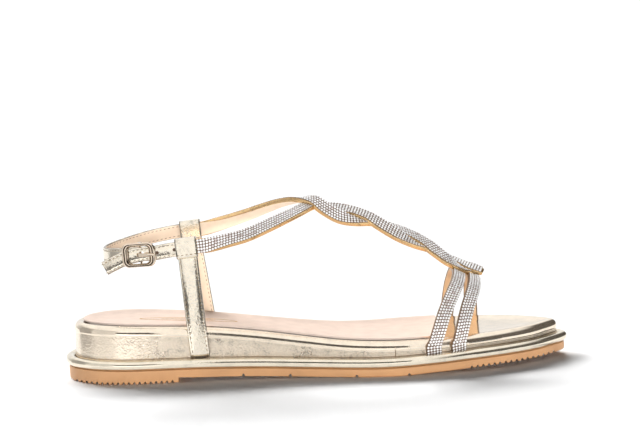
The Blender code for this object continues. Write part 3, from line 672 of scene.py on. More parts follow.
def groove_tree():
    """Round bars across the sole, one at every point of a line."""
    tree, inputs = node_group("tread_grooves", ("Radius", "Float"), ("Width", "Float"))
    bar = add_node(tree, "GeometryNodeMeshCylinder",
                   {"Vertices": 12, "Radius": inputs.outputs["Radius"],
                    "Depth": inputs.outputs["Width"]})
    lying = add_node(tree, "FunctionNodeEulerToRotation",
                     {"Euler": (math.pi / 2, 0.0, 0.0)})
    bars = add_node(tree, "GeometryNodeInstanceOnPoints",
                    {"Points": inputs.outputs["Geometry"],
                     "Instance": bar.outputs["Mesh"],
                     "Rotation": lying.outputs["Rotation"],
                     "Scale": (1.0, GROOVE_STRETCH, 1.0)})
    close_tree(tree, bars.outputs["Instances"])
    return tree


def cut(piece, cutter, operation="DIFFERENCE"):
    """One exact Boolean, applied, after which the cutter is removed."""
    step = piece.modifiers.new("cut", "BOOLEAN")
    step.operation, step.solver, step.object = operation, "EXACT", cutter
    graph = bpy.context.evaluated_depsgraph_get()
    mesh = bpy.data.meshes.new_from_object(piece.evaluated_get(graph))
    piece.modifiers.clear()
    old, piece.data = piece.data, mesh
    bpy.data.meshes.remove(old)
    bpy.data.objects.remove(cutter)
    mesh.shade_smooth()
    mesh.set_sharp_from_angle(angle=math.radians(35))
    return piece


tread = groove_tree()
print("tread tree:", len(tread.nodes), "nodes")

# %% [markdown]
# ## Cutting the outsole
#
# The unit starts as a plain stack.  One cutter, drawn from the side, hollows
# the waist, and the bars cut the grooves and four small nicks.  Exact Booleans
# take a moment longer than fast ones, but leave a clean edge at every tooth.

# %% Outsole with its tread
def sole_edge(share):
    """Height at a share of the way up the outsole's edge."""
    return lambda s: outsole_bottom(s) + (outsole_top(s) - outsole_bottom(s)) * share


def make_outsole():
    """The rubber unit: a stack, hollowed at the waist and grooved."""
    unit = stacked("sole_unit", [
        level(1.1, outsole_bottom), level(0.55, lambda s: outsole_bottom(s) + 0.12),
        level(0.1, lambda s: outsole_bottom(s) + 0.6), level(0.0, sole_edge(0.35)),
        level(0.0, sole_edge(0.75)), level(0.12, lambda s: outsole_top(s) - 0.25),
        level(0.5, outsole_top)], caramel)
    waist = smooth_line([(HEEL_BLOCK, 2.7), (68, 2.1), (83, 1.8), (108, 1.1),
                         (133, 0.5), (BALL_CONTACT, 0.0)])
    under = np.concatenate([waist, [(BALL_CONTACT, -3.0), (HEEL_BLOCK, -3.0)]])
    cut(unit, skin_over("waist_hollow",
                        [[(a, y, h) for a, h in under] for y in (-60.0, 60.0)]))

    spots = [np.arange(first, last, pitch) for first, last, pitch in TREAD]
    along = np.sort(np.concatenate(spots + [WAIST_NICKS]))
    hollow = np.interp(along, waist[:, 0], waist[:, 1], left=0.0, right=0.0)
    low = np.maximum(outsole_bottom(along), hollow) + GROOVE_RISE
    line = add_mesh("groove_line", np.stack([along, 0 * along, low], axis=1))
    cut(unit, run_tree(line, tread, "groove_bars", radius=GROOVE_RADIUS * MM,
                       width=GROOVE_LENGTH * MM))
    print("outsole:", len(along), "grooves,", len(unit.data.polygons), "faces")
    return finish_piece(unit, ["outsole"])


make_outsole()

# %% [markdown]
# ## Welt
#
# A cord wrapped in the same leather as the midsole, lasted all the way round
# on top of the outsole.  It is a plain circle carried round the outline.  A
# bevelled curve would do as well, but these rings share the outline that the
# other sole pieces use, so the gap to them is the same all round.

# %% Rolled welt
WELT_RADIUS, WELT_INSET = 2.4, 0.9


def carried_round(path, radius, sides_round):
    """Rings of a round section carried along a closed level path."""
    run = np.roll(path, -1, axis=0) - np.roll(path, 1, axis=0)
    run /= np.linalg.norm(run, axis=1)[:, None]
    out = np.stack([run[:, 1], -run[:, 0], 0 * run[:, 0]], axis=1)
    out /= np.linalg.norm(out, axis=1)[:, None]
    turns = circle(sides_round)
    up = np.array([0.0, 0.0, 1.0])
    return (path[:, None] + radius * (out[:, None] * np.cos(turns)[None, :, None]
                                      + up * np.sin(turns)[None, :, None]))


def make_welt():
    """The rolled welt, once round the shoe on top of the outsole."""
    path = level(WELT_INSET, lambda s: outsole_top(s) + GAP + WELT_RADIUS)
    welt = skin_over("rolled_welt", carried_round(path, WELT_RADIUS, 28),
                     champagne_roll, loop=True)
    return finish_piece(welt, ["welt"])


make_welt()
print("welt:", pieces_made["rolled_welt"], "faces,", 2 * WELT_RADIUS, "mm thick")

# %% [markdown]
# ## Midsole
#
# Board and foam, wrapped in crackled champagne leather that turns over a soft
# rim.  The rim is a little over a quarter of an ellipse in the stack of
# outlines, so its highlight runs evenly round the shoe.  `pulled` is stored ring by ring: the
# wrapping is stretched smooth over the rim and round the heel, and wrinkled on
# the side walls.

# %% Wrapped midsole
MIDSOLE_INSET = WELT_INSET + WELT_RADIUS + GAP
RIM_WIDTH, RIM_HEIGHT, RIM_LIP = 3.3, 3.7, 0.35
DISH, DISH_REACH = 1.4, 12.0
SOCK_INSET, SOCK_FRONT, SOCK_THICKNESS = 8.4, 189.0, 1.1
WALL_PULLED = ((0.0, 26.0, 52.0, 254.0), (0.7, 0.55, 0.0, 0.0))    # along, pulled


def footbed(along, inset):
    """Height of the footbed: full at its rim, sunk towards the middle."""
    sink = min(max((inset - MIDSOLE_INSET - RIM_WIDTH) / DISH_REACH, 0.0), 1.0)
    return footbed_rim(along) - DISH * math.sin(sink * math.pi / 2)


def midsole_base(along):
    """Underside of the midsole, a gap above the outsole."""
    return outsole_top(along) + GAP


def wall_height(share):
    """Height at a share of the way up the midsole's wall."""
    def height(s):
        low = midsole_base(s) + 0.9
        return low + share * (footbed_rim(s) - RIM_HEIGHT - 0.5 - low)
    return height


def make_midsole():
    """The wrapped midsole: base, wall, rim and footbed."""
    at = MIDSOLE_INSET
    levels = [level(at + 1.5, midsole_base),
              level(at + 0.3, lambda s: midsole_base(s) + 0.2)]
    levels += [level(at + RIM_LIP * share, wall_height(share))
               for share in (0.0, 0.25, 0.5, 0.75, 1.0)]
    below_rim = len(levels)
    for turn in np.radians(range(-18, 91, 9)):
        levels.append(level(at + RIM_WIDTH * (1 - math.cos(turn)),
                            lambda s: footbed_rim(s) - RIM_HEIGHT * (1 - math.sin(turn))))
    for inset in (SOCK_INSET, SOCK_INSET + 2.5, SOCK_INSET + 5.5, SOCK_INSET + 10.2):
        levels.append(level(inset, lambda s: footbed(s, inset)))
    body = stacked("wrapped_midsole", levels, champagne)
    pulled = np.interp(np.array(levels)[:, :, 0], *WALL_PULLED)
    pulled[below_rim:] = 1.0
    store_values(body, "pulled", pulled)
    return finish_piece(body, ["midsole"])


make_midsole()
print("midsole:", pieces_made["wrapped_midsole"], "faces")

# %% [markdown]
# ## Crease and seam of the wrapping
#
# Where the wrapping goes down behind the welt, shade falls in a fine dark
# line, and on the outer wall its two ends meet in an upright join.  Both are
# too fine for the wall's own mesh and too sharp for a bump, so they are thin
# cords laid along a path and sunk halfway into the wall: a dark cord stands in
# for the shade above the welt as painted shade, and the join is a real ridge.

# %% Crease and seam
CREASE_RADIUS, SEAM_RADIUS, SEAM_ALONG = 0.17, 0.2, 165.7


def round_line(name, path, radius, material, closed=False, sides_round=8):
    """A thin cord of leather along a path."""
    path = np.asarray(path, float)
    run = (np.roll(path, -1, axis=0) - np.roll(path, 1, axis=0)) if closed else (
        np.gradient(path, axis=0))
    run /= np.linalg.norm(run, axis=1)[:, None]
    first = np.cross(run, (0.13, 0.27, 0.95))
    first /= np.linalg.norm(first, axis=1)[:, None]
    second = np.cross(run, first)
    turns = circle(sides_round)
    rings = path[:, None] + radius * (first[:, None] * np.cos(turns)[None, :, None]
                                      + second[:, None] * np.sin(turns)[None, :, None])
    return skin_over(name, rings, material, loop=closed)


def make_crease_shade():
    """A dark cord where the wrapping goes down behind the welt: painted shade."""
    path = level(MIDSOLE_INSET + 0.06, lambda s: midsole_base(s) + 2 * WELT_RADIUS + 0.2)
    return finish_piece(round_line("wrapping_crease", path, CREASE_RADIUS, bronze_edge,
                                   closed=True))


def make_wall_seam(along):
    """The join in the wrapping: a fine upright line on the outer wall."""
    low = midsole_base(along) + 2 * WELT_RADIUS
    high = footbed_rim(along) - RIM_HEIGHT * 0.7
    path = [(along, edge(along, -1, MIDSOLE_INSET - 0.02 + 0.3 * share),
             low + (high - low) * share) for share in np.linspace(0.0, 1.0, 8)]
    return finish_piece(round_line("wrapping_seam", path, SEAM_RADIUS, bronze_edge))


make_crease_shade()
make_wall_seam(SEAM_ALONG)
print("crease and seam:", pieces_made["wrapping_crease"], "and",
      pieces_made["wrapping_seam"], "faces")

# %% [markdown]
# ## Sock
#
# The sock is a sheet of soft leather laid in the dish that the rim leaves,
# from the heel to the ball.  It follows the footbed's own height formula, so
# it lies on it evenly, and its cut edge is rounded by a few extra levels.

# %% Sock
SOCK_LEVELS = (        # inset, share of the thickness, shorter at the front
    (10.2, 0, 6), (2.5, 0, 2.5), (0.3, 0, 0.3), (0, 0.25, 0), (0, 0.65, 0),
    (0.15, 0.88, 0.15), (0.5, 1, 0.5), (2.5, 1, 2.5), (5.5, 1, 4), (10.2, 1, 6))
UNDER_SOCK = 1.3 * GAP


def make_sock():
    """The sock, on the footbed from the heel to the ball."""
    levels = []
    for inset, share, shorter in SOCK_LEVELS:
        lift = UNDER_SOCK + share * SOCK_THICKNESS
        levels.append(level(SOCK_INSET + inset,
                            lambda s: footbed(s, SOCK_INSET + inset) + lift,
                            front=SOCK_FRONT - shorter))
    return finish_piece(stacked("sock", levels, sock_leather),
                        ["insole_sock"])


make_sock()
print("sock:", pieces_made["sock"], "faces")

# %% [markdown]
# ## Foil mark
#
# Socks often carry a small hot-foil stamp under the heel.  Here it is a plain
# oval with a bar in its middle.  Each is a thin flat band that stands a tenth
# of a millimetre proud, which keeps its edge sharp at any distance where a
# painted mask would blur.

# %% Foil mark
MARK_LENGTH, MARK_WIDTH, MARK_CENTRE, MARK_ACROSS = 50.0, 9.0, 62.0, -2.0
MARK_LINE, MARK_THICKNESS = 1.6, 0.12
BAR_LENGTH, BAR_WIDTH = MARK_LENGTH * 0.55, 1.2


def make_foil_band(name, inner, outer):
    """An oval band between two (length, width) sizes, laid on the sock."""
    turns, rings = circle(96), []
    for (length, width), lift in ((inner, 0), (inner, MARK_THICKNESS),
                                  (outer, MARK_THICKNESS), (outer, 0)):
        along = MARK_CENTRE + length / 2 * np.cos(turns)
        across = MARK_ACROSS + width / 2 * np.sin(turns)
        height = footbed(along, 25.0) + UNDER_SOCK + SOCK_THICKNESS + lift
        rings.append(np.stack([along, across, height], axis=1))
    return finish_piece(skin_over(name, rings, gold_edge, loop=True))


make_foil_band("foil_oval", (MARK_LENGTH - MARK_LINE, MARK_WIDTH - MARK_LINE),
               (MARK_LENGTH, MARK_WIDTH))
make_foil_band("foil_bar", (0.05, 0.05), (BAR_LENGTH, BAR_WIDTH))
print("foil mark:", MARK_LENGTH, "by", MARK_WIDTH, "mm")

# %% [markdown]
# ## Straps
#
# Every strap is a section carried along a line of rows.  A row says where
# the strap is, how thick and wide it is there, and which way it faces: away
# from the last's core, a level line `depth` below the strap.  A curve with a
# bevel would twist as it likes; frames that are worked out from the foot's
# own shape lie on it as leather does.  They serve the leather, its lining, the
# stones and the stitches alike.

# %% Strap lines
StrapRow = namedtuple("StrapRow", "along across height depth thick wide core",
                      defaults=(1.0, 1.0, 0.0))
Frames = namedtuple("Frames", "spot run width outward thick wide")
FRAME_SPACING = 0.8       # mm


def strap_frames(rows, facing=None, belt=False, skew=0.0):
    """Evenly spaced frames along a strap, for everything that lies on it."""
    line = evenly(smooth_line(rows, 12), FRAME_SPACING)
    spot = line[:, :3]
    run = np.gradient(spot, axis=0)
    run /= np.linalg.norm(run, axis=1)[:, None]
    lean = (0 * spot[:, 0] if facing is None
            else spot[:, 0] - facing - skew * spot[:, 1])
    outward = np.stack([lean, spot[:, 1] - line[:, 6], line[:, 3]], axis=1)
    if belt:
        level_out = np.cross(run, (0.0, 0.0, 1.0))
        same = np.sign(np.einsum("ij,ij->i", level_out, outward))
        outward = level_out * same[:, None]
    outward -= run * np.einsum("ij,ij->i", outward, run)[:, None]
    outward /= np.linalg.norm(outward, axis=1)[:, None]
    return Frames(spot, run, np.cross(run, outward), outward, line[:, 4], line[:, 5])


def on_strap(frames, across, out):
    """Points at one place of the section: mm across and out of its middle."""
    return (frames.spot + frames.width * (across * frames.wide)[:, None]
            + frames.outward * (out * frames.thick)[:, None])


def sweep(name, frames, section, material):
    """A closed band: the section, a list of (across, out), at every frame."""
    rings = np.stack([on_strap(frames, a, n) for a, n in section], axis=1)
    return skin_over(name, rings, material)


def clip(frames, first=0, last=None):
    """The frames from one number to another."""
    return Frames(*(values[first:last] for values in frames))


print("a strap's frame holds:", Frames._fields)

# %% [markdown]
# ## Ankle loops and the strap's feet
#
# Each upright ends in a loop beside the ankle, and strands, heel strap and
# billet all pass through one of the two.  At the bottom each strap is tucked
# between welt and midsole.  So both places are functions: every strap that
# uses a loop or a foot gets the same rows there and can't miss it.

# %% Loops and feet
Upright = namedtuple("Upright", "side foot top loop_height facing")
LATERAL = Upright(-1, 68.2, 64.4, 67.1, 66.0)
MEDIAL = Upright(1, 71.0, 64.2, 69.2, 67.0)
LOOP_ACROSS, LOOP_LENGTH, LOOP_SLOT, LOOP_WALL = 27.2, 11.6, (3.5, 8.0), 1.15
LOOP_SLOPE = math.radians(5.0)
STRAND_WIDTH, STRAND_THICKNESS = 7.4, 2.2
TAB_THICKNESS = 1.1


def foot_of_strap(along, side):
    """Rows that tuck a strap's end between the welt and the midsole."""
    crease = float(outsole_top(along)) + GAP + 2 * WELT_RADIUS
    drops = ((-3.4, 6.6), (-1.0, 5.1), (1.2, 3.5), (3.6, 2.35))
    return [StrapRow(along, edge(along, side, inset), crease + drop, 0)
            for drop, inset in drops]


def in_loop(part, layer, thick, reach=(-4.6, 0.0, 4.6)):
    """Rows that carry a strap straight through an upright's loop."""
    return [StrapRow(part.top + step, part.side * layer,
                     part.loop_height + step * math.tan(LOOP_SLOPE), 0, thick)
            for step in reach]


print("loops at", LATERAL.loop_height, "and", MEDIAL.loop_height, "mm")

# %% [markdown]
# ## The T-bar
#
# Two strands start in the ankle loops, climb to the instep and are twisted
# round each other three half turns down to the vamp.  Placing each crossing
# by hand would leave them to collide somewhere.  The twist is a formula
# instead: the swing to the sides is a sine, and the lift over the other strand
# a cosine of the same turn, so where one is up the other is down.

# %% Ankle rows
LATERAL_ANKLE = (
    StrapRow(75, -26.4, 67.9, 10, 1.1), StrapRow(84, -25.2, 69.5, 24, 1.15),
    StrapRow(94, -22.4, 71.5, 26, 1.15), StrapRow(104, -18.0, 74.9, 25, 1.15),
    StrapRow(113, -12.6, 78.1, 22, 1.15), StrapRow(120.0, -7.2, 80.5, 18, 1.15),
)
MEDIAL_ANKLE = (
    StrapRow(75, 26.4, 70.8, 9, 1.1), StrapRow(84, 24.9, 73.4, 20, 1.15),
    StrapRow(94, 21.9, 76.6, 24, 1.15), StrapRow(103, 17.4, 80.0, 26, 1.15),
    StrapRow(111.5, 11.6, 83.1, 26, 1.15), StrapRow(119.5, 5.0, 85.0, 23, 1.15),
)
print("ankle rows:", len(LATERAL_ANKLE), "and", len(MEDIAL_ANKLE))

# %% Twisted rows
TWIST_LIFT, TWIST_DEPTH, TWIST_SPREAD = 1.15, 25.0, 1.06
# the T-bar's middle line; turns: half turns so far; reach: how far the strands
# swing apart; tilt: how far the T-bar leans to the outer side of the foot
RidgeRow = namedtuple("RidgeRow", "along height turns reach tilt")
RIDGE = (
    RidgeRow(127.7, 83.9, 0.0, 2.0, 18), RidgeRow(134, 80.7, 0.25, 2.5, 29),
    RidgeRow(141.5, 77.9, 0.5, 3.2, 32), RidgeRow(149, 76.0, 0.75, 3.8, 24),
    RidgeRow(156.0, 73.9, 1.0, 3.8, 16), RidgeRow(163, 70.5, 1.25, 3.5, 19),
    RidgeRow(170.5, 66.6, 1.5, 3.2, 20), RidgeRow(178, 62.7, 1.75, 3.1, 18),
    RidgeRow(184.5, 59.1, 2.0, 3.5, 12), RidgeRow(190, 55.4, 2.25, 3.9, 9),
    RidgeRow(196.0, 51.5, 2.5, 4.1, 8), RidgeRow(202, 47.7, 2.75, 3.6, 7),
    RidgeRow(207.0, 45.8, 3.0, 3.4, 10),
)
LOOPED_TIP = (
    StrapRow(209.6, -1.2, 46.0, 25, 1.1, 1.0, 5.0),
    StrapRow(211.8, -1.6, 45.1, 25, 1.0, 0.86, 5.0),
    StrapRow(212.8, -1.7, 44.5, 25, 0.85, 0.55, 5.0),
)


def strand_rows(part, ankle):
    """Rows of one strand: along the ankle, then twisted down the instep."""
    side = -part.side
    layer = LOOP_ACROSS - LOOP_SLOT[0] / 2 + GAP + TAB_THICKNESS / 2
    rows = in_loop(part, layer, TAB_THICKNESS / STRAND_THICKNESS, (-4.0, 1.0, 6.4))
    rows += list(ankle)
    for row in RIDGE:
        turn, tilt = math.pi * row.turns, math.radians(row.tilt)
        lean, rise = math.cos(tilt), math.sin(tilt)
        swing = side * row.reach * math.sin(turn)
        lift = -side * TWIST_LIFT * math.cos(turn)
        rows.append(StrapRow(
            row.along, swing * lean - lift * rise,
            row.height + swing * rise + lift * lean,
            swing * rise + TWIST_DEPTH * lean, 1.2, TWIST_SPREAD, TWIST_DEPTH * rise))
    if rows[-1].height > RIDGE[-1].height:
        rows += LOOPED_TIP
    return rows


stone_straps = {"medial_strand": strap_frames(strand_rows(MEDIAL, MEDIAL_ANKLE)),
                "lateral_strand": strap_frames(strand_rows(LATERAL, LATERAL_ANKLE))}
print("strands:", [round(FRAME_SPACING * len(f.spot)) for f in stone_straps.values()],
      "mm long")

# %% [markdown]
# ## Vamp straps
#
# Two bands go over the foot behind the toes, and the T-bar ends on them.  The
# arc is the same for both, as shares of each strap's own feet, so that the two
# run side by side without a second table.  `lean` says how far each row has
# moved from the foot of the strap towards its top, and `rise` makes the front
# one lower than the rear one.

# %% Vamp rows
VampRow = namedtuple("VampRow", "side across height lean")
VAMP_ARC = (
    VampRow(-1, 1.000, 15.5, 0.05), VampRow(-1, 1.020, 21.0, 0.17),
    VampRow(-1, 0.985, 27.5, 0.32), VampRow(-1, 0.900, 33.5, 0.50),
    VampRow(-1, 0.760, 38.6, 0.70), VampRow(-1, 0.555, 42.6, 0.88),
    VampRow(-1, 0.300, 45.0, 0.98), VampRow(1, 0.000, 45.8, 1.00),
    VampRow(1, 0.300, 45.2, 0.96), VampRow(1, 0.555, 43.0, 0.88),
    VampRow(1, 0.760, 39.0, 0.74), VampRow(1, 0.900, 33.8, 0.55),
    VampRow(1, 0.985, 27.6, 0.37), VampRow(1, 1.020, 21.0, 0.20),
    VampRow(1, 1.000, 15.5, 0.05),
)
VampStrap = namedtuple("VampStrap", "lateral_foot top medial_foot rise facing skew")
VAMP_STRAPS = (VampStrap(184.9, 200.2, 194.9, 0.990, 184.0, 0.15),
               VampStrap(197.3, 208.1, 208.0, 0.897, 193.0, 0.20))
VAMP_WIDE = 0.93


def vamp_rows(strap):
    """Rows of one vamp strap, from its lateral foot over to the medial one."""
    first = foot_of_strap(strap.lateral_foot, -1)
    last = foot_of_strap(strap.medial_foot, 1)
    base = {-1: first[-1], 1: last[-1]}
    rows = []
    for row in VAMP_ARC:
        foot = base[row.side]
        along = foot.along + (strap.top - foot.along) * row.lean
        height = VAMP_ARC[0].height + (row.height - VAMP_ARC[0].height) * strap.rise
        rows.append(StrapRow(along, foot.across * row.across, height,
                             max(row.height - BALL_HEIGHT, 0.0), 1.0, VAMP_WIDE))
    first = [row._replace(wide=1.06) for row in first]
    return first + rows + last[::-1]


for label, strap in zip(("rear_vamp_strap", "front_vamp_strap"), VAMP_STRAPS):
    stone_straps[label] = strap_frames(vamp_rows(strap), facing=strap.facing,
                                       skew=strap.skew)
    print(label, round(FRAME_SPACING * len(stone_straps[label].spot)), "mm long")

# %% [markdown]
# ## Stone-set straps
#
# A gold leather band is turned over at both edges, so that its upright edges
# show as a line of plain gold, and it is lined.  On it lies a dark mesh with
# five rows of small stones in silver cups.  A tree sets them: it takes five
# lines along the band and puts the same number of points on each, so that the
# stones stand in columns, turns cup and stone to face outwards, and tips each
# a little.  Hand-set stones never lie quite level, which makes them glitter.

# %% Cup and stone
STONE_ROWS = 5
STONE_PITCH = 1.48
STONE_RADIUS = 0.64
BED = 0.8                 # share of half the thickness where the cups stand


def small_cone(tree, radius, top, bottom, depth):
    """An eight-sided block, its sizes shares of the stone's radius."""
    sizes = {"Radius Top": top, "Radius Bottom": bottom, "Depth": depth}
    feed = {key: maths(tree, "MULTIPLY", radius, share) for key, share in sizes.items()}
    return add_node(tree, "GeometryNodeMeshCone", {"Vertices": 8, **feed},
                    fill_type="NGON").outputs["Mesh"]


def cup_and_stone(tree, radius):
    """A silver cup with a glass stone in it, both with flat facets."""
    crown = add_node(tree, "ShaderNodeCombineXYZ",
                     {"Z": maths(tree, "MULTIPLY", radius, 0.4)}).outputs["Vector"]
    raised = add_node(tree, "GeometryNodeTransform",
                      {"Geometry": small_cone(tree, radius, 0.76, 0.99, 0.28),
                       "Translation": crown}).outputs["Geometry"]
    both = add_node(tree, "GeometryNodeJoinGeometry")
    for mesh, material in ((small_cone(tree, radius, 1.06, 0.95, 0.42), silver),
                           (raised, crystal)):
        flat = add_node(tree, "GeometryNodeSetShadeSmooth",
                        {"Geometry": mesh, "Shade Smooth": False})
        coated = add_node(tree, "GeometryNodeSetMaterial",
                          {"Geometry": flat.outputs["Geometry"], "Material": material})
        tree.links.new(coated.outputs["Geometry"], both.inputs["Geometry"])
    return both.outputs["Geometry"]


def turned_outwards(tree, primary, secondary):
    """A turn that faces each instance by its line: Z outwards, X along it."""
    outward = add_node(tree, "GeometryNodeInputNamedAttribute", {"Name": "outward"},
                       data_type="FLOAT_VECTOR").outputs["Attribute"]
    along = add_node(tree, "GeometryNodeInputTangent").outputs["Tangent"]
    axes = {"Z": outward, "X": along}
    return add_node(tree, "FunctionNodeAxesToRotation",
                    {"Primary Axis": axes[primary], "Secondary Axis": axes[secondary]},
                    primary_axis=primary, secondary_axis=secondary).outputs["Rotation"]


print("stones of", 2 * STONE_RADIUS, "mm, every", STONE_PITCH, "mm")

# %% A tree that sets the stones
def stone_tree():
    """Cups and stones on lines that know which way is outwards."""
    tree, inputs = node_group(
        "stone_setting", ("Columns", "Int"), ("Radius", "Float"), ("Seed", "Int"))
    seed = inputs.outputs["Seed"]
    line = add_node(tree, "GeometryNodeMeshToCurve",
                    {"Mesh": inputs.outputs["Geometry"]})
    spots = add_node(tree, "GeometryNodeResampleCurve",
                     {"Curve": line.outputs["Curve"],
                      "Count": inputs.outputs["Columns"]}, mode="COUNT")
    stones = add_node(tree, "GeometryNodeInstanceOnPoints",
                      {"Points": spots.outputs["Curve"],
                       "Instance": cup_and_stone(tree, inputs.outputs["Radius"]),
                       "Rotation": turned_outwards(tree, "Z", "X")})
    tip = add_node(tree, "FunctionNodeRandomValue",
                   {0: (-0.07, -0.07, -0.35), 1: (0.07, 0.07, 0.35), "Seed": seed},
                   data_type="FLOAT_VECTOR")
    tipped = add_node(tree, "GeometryNodeRotateInstances",
                      {"Instances": stones.outputs["Instances"],
                       "Rotation": tip.outputs[0]})
    tint = add_node(tree, "FunctionNodeRandomValue", {2: 0.0, 3: 1.0, "Seed": seed},
                    data_type="FLOAT")
    tinted = add_node(tree, "GeometryNodeStoreNamedAttribute",
                      {"Geometry": tipped.outputs["Instances"], "Name": "tint",
                       "Value": tint.outputs[1]}, data_type="FLOAT", domain="INSTANCE")
    close_tree(tree, tinted.outputs["Geometry"])
    return tree


setting = stone_tree()
print("stone tree:", len(setting.nodes), "nodes")

# %% Setting the stones
def lines_on(frames, places, out, outward_sign=1.0):
    """A carrier of parallel lines on a strap, which know what is outwards."""
    count = len(frames.spot)
    points = np.concatenate([on_strap(frames, a, out) for a in places])
    edges = [(row * count + k, row * count + k + 1)
             for row in range(len(places)) for k in range(count - 1)]
    carrier = add_mesh("lines", points, edges=edges)
    store_values(carrier, "outward", np.tile(frames.outward * outward_sign,
                                             (len(places), 1)), "FLOAT_VECTOR")
    return carrier


def set_stones(name, frames, seed):
    """Cover a strap with its five rows of stones."""
    pitch = STRAND_WIDTH / STONE_ROWS
    places = [(row - (STONE_ROWS - 1) / 2) * pitch * 0.985 for row in range(STONE_ROWS)]
    length = np.linalg.norm(np.diff(frames.spot, axis=0), axis=1).sum()
    carrier = lines_on(frames, places, BED * STRAND_THICKNESS / 2)
    stones = run_tree(carrier, setting, name, columns=round(length / STONE_PITCH),
                      radius=STONE_RADIUS * MM, seed=seed)
    print(name, round(length / STONE_PITCH) * STONE_ROWS, "stones,",
          len(stones.data.polygons), "faces")
    return finish_piece(stones)


print("rows", round(STRAND_WIDTH / STONE_ROWS, 2), "mm apart")

# %% [markdown]
# ## Layers of a stone-set strap
#
# From the foot outwards: a lining, a gold band with turned edges, a dark mesh
# and the stones.  All are carried along the same frames, so they lie on each
# other without a gap.  In the ankle loops the band stays bare, because a strap
# with stones on it couldn't slip through.

# %% Bands, linings, mesh and stones
def turned_section(width, thickness):
    """A band with turned, upright edges whose corners are only just round."""
    w, t, soft = width / 2, thickness / 2, 0.22
    high = BED * t
    side = [(w - 1.4 * soft, -t), (w - 0.4 * soft, -t + 0.3 * soft), (w, -t + soft),
            (w + 0.05, (high - t) / 2), (w, high - soft),
            (w - 0.4 * soft, high - 0.3 * soft), (w - 1.4 * soft, high)]
    return side + [(-a, n) for a, n in side[::-1]]


def ribbon_section(width, low, high):
    """A flat band between two heights."""
    w = width / 2
    return ((-w, low), (w, low), (w, high), (-w, high))


SET_FROM = {"medial_strand": 13, "lateral_strand": 12}    # first frame with stones
SET_ON_VAMP = 3
for number, (label, frames) in enumerate(stone_straps.items()):
    on_vamp = label not in SET_FROM
    stones_on = clip(frames, SET_FROM.get(label, SET_ON_VAMP), -2)
    # On the vamp straps the band's edges are bronze and the lining amber, darker copies of
    # the gold and the peach: painted shade.
    band = sweep(f"{label}_band", frames, turned_section(STRAND_WIDTH, STRAND_THICKNESS),
                 bronze_edge if on_vamp else gold_edge)
    finish_piece(band, ["upper"])
    under = sweep(f"{label}_lining", frames,
                  ribbon_section(STRAND_WIDTH - 1.0, -1.2, -0.9),
                  amber_lining if on_vamp else lining)
    finish_piece(under)
    mesh = sweep(f"{label}_mesh", stones_on,
                 ribbon_section(STRAND_WIDTH - 0.3, 0.6, BED * STRAND_THICKNESS / 2 + 0.1),
                 dark_mesh)
    finish_piece(mesh)
    set_stones(f"{label}_stones", stones_on, number + 1)
print("stone-set straps:", len(stone_straps))

# %% [markdown]
# ## Stitches
#
# A lockstitch shows on each face as a row of short threads that dive into the
# leather at both ends.  A stretched ball has just that form.  One tree sews
# every seam of the shoe: it walks along a line at the stitch's pitch and lays
# a ball at each step, turned along the line.

# %% Sewing
STITCH_PITCH, STITCH_LENGTH, STITCH_RADIUS = 2.2, 1.45, 0.19
SEAM_FROM_EDGE = 1.25


def stitch_tree():
    """Threads on lines that know which way is outwards."""
    tree, inputs = node_group("stitching", ("Pitch", "Float"), ("Length", "Float"),
                              ("Radius", "Float"), ("Thread", "Material"))
    radius = inputs.outputs["Radius"]
    line = add_node(tree, "GeometryNodeMeshToCurve",
                    {"Mesh": inputs.outputs["Geometry"]})
    steps = add_node(tree, "GeometryNodeResampleCurve",
                     {"Curve": line.outputs["Curve"],
                      "Length": inputs.outputs["Pitch"]}, mode="LENGTH")
    ball = add_node(tree, "GeometryNodeMeshUVSphere",
                    {"Segments": 8, "Rings": 6, "Radius": 1.0})
    half = maths(tree, "MULTIPLY", inputs.outputs["Length"], 0.5)
    size = add_node(tree, "ShaderNodeCombineXYZ", {"X": half, "Y": radius, "Z": radius})
    threads = add_node(tree, "GeometryNodeInstanceOnPoints",
                       {"Points": steps.outputs["Curve"],
                        "Instance": ball.outputs["Mesh"],
                        "Rotation": turned_outwards(tree, "X", "Z"),
                        "Scale": size.outputs["Vector"]})
    smooth = add_node(tree, "GeometryNodeSetShadeSmooth",
                      {"Geometry": threads.outputs["Instances"]})
    close_tree(tree, smooth.outputs["Geometry"], inputs.outputs["Thread"])
    return tree


sewing = stitch_tree()


def sew(name, carrier, thread=gold_thread):
    """Sew along a carrier's lines and hand over the seam."""
    seam = run_tree(carrier, sewing, name, pitch=STITCH_PITCH * MM,
                    length=STITCH_LENGTH * MM, radius=STITCH_RADIUS * MM,
                    thread=thread)
    return finish_piece(seam)


print("a stitch every", STITCH_PITCH, "mm,", SEAM_FROM_EDGE, "mm from the edge")

# %% [markdown]
# ## Folded straps
#
# Uprights, heel strap and billet are gold leather folded over a reinforcement
# and sewn along both edges, with a peach lining inside all but the billet.  A
# plain box would look like card.  The section is therefore a little crowned,
# round at its folds, and dips where the thread pulls it in, so each seam
# catches the light.

# %% Folded straps
def folded_section(width, thickness, seam=SEAM_FROM_EDGE, crown=0.12, dip=0.14):
    """A folded strap: round edges, a crowned face, a dip at each seam."""
    w, t = width / 2, thickness / 2
    r = t * 0.8
    points = [(-w + r * 1.6, -t), (w - r * 1.6, -t)]
    for k in range(5):
        turn = math.radians(-90 + 180 * (k + 0.5) / 5)
        points.append((w - r + r * math.cos(turn), t * math.sin(turn)))
    face = ((w - r - 0.15, t), (w - seam + 0.35, t), (w - seam, t - dip),
            (w - seam - 0.4, t), (w * 0.45, t + crown * 0.7), (0.0, t + crown))
    points += list(face)
    points += [(-a, n) for a, n in face[-2::-1]]
    points += [(-a, n) for a, n in points[6:1:-1]]
    return points


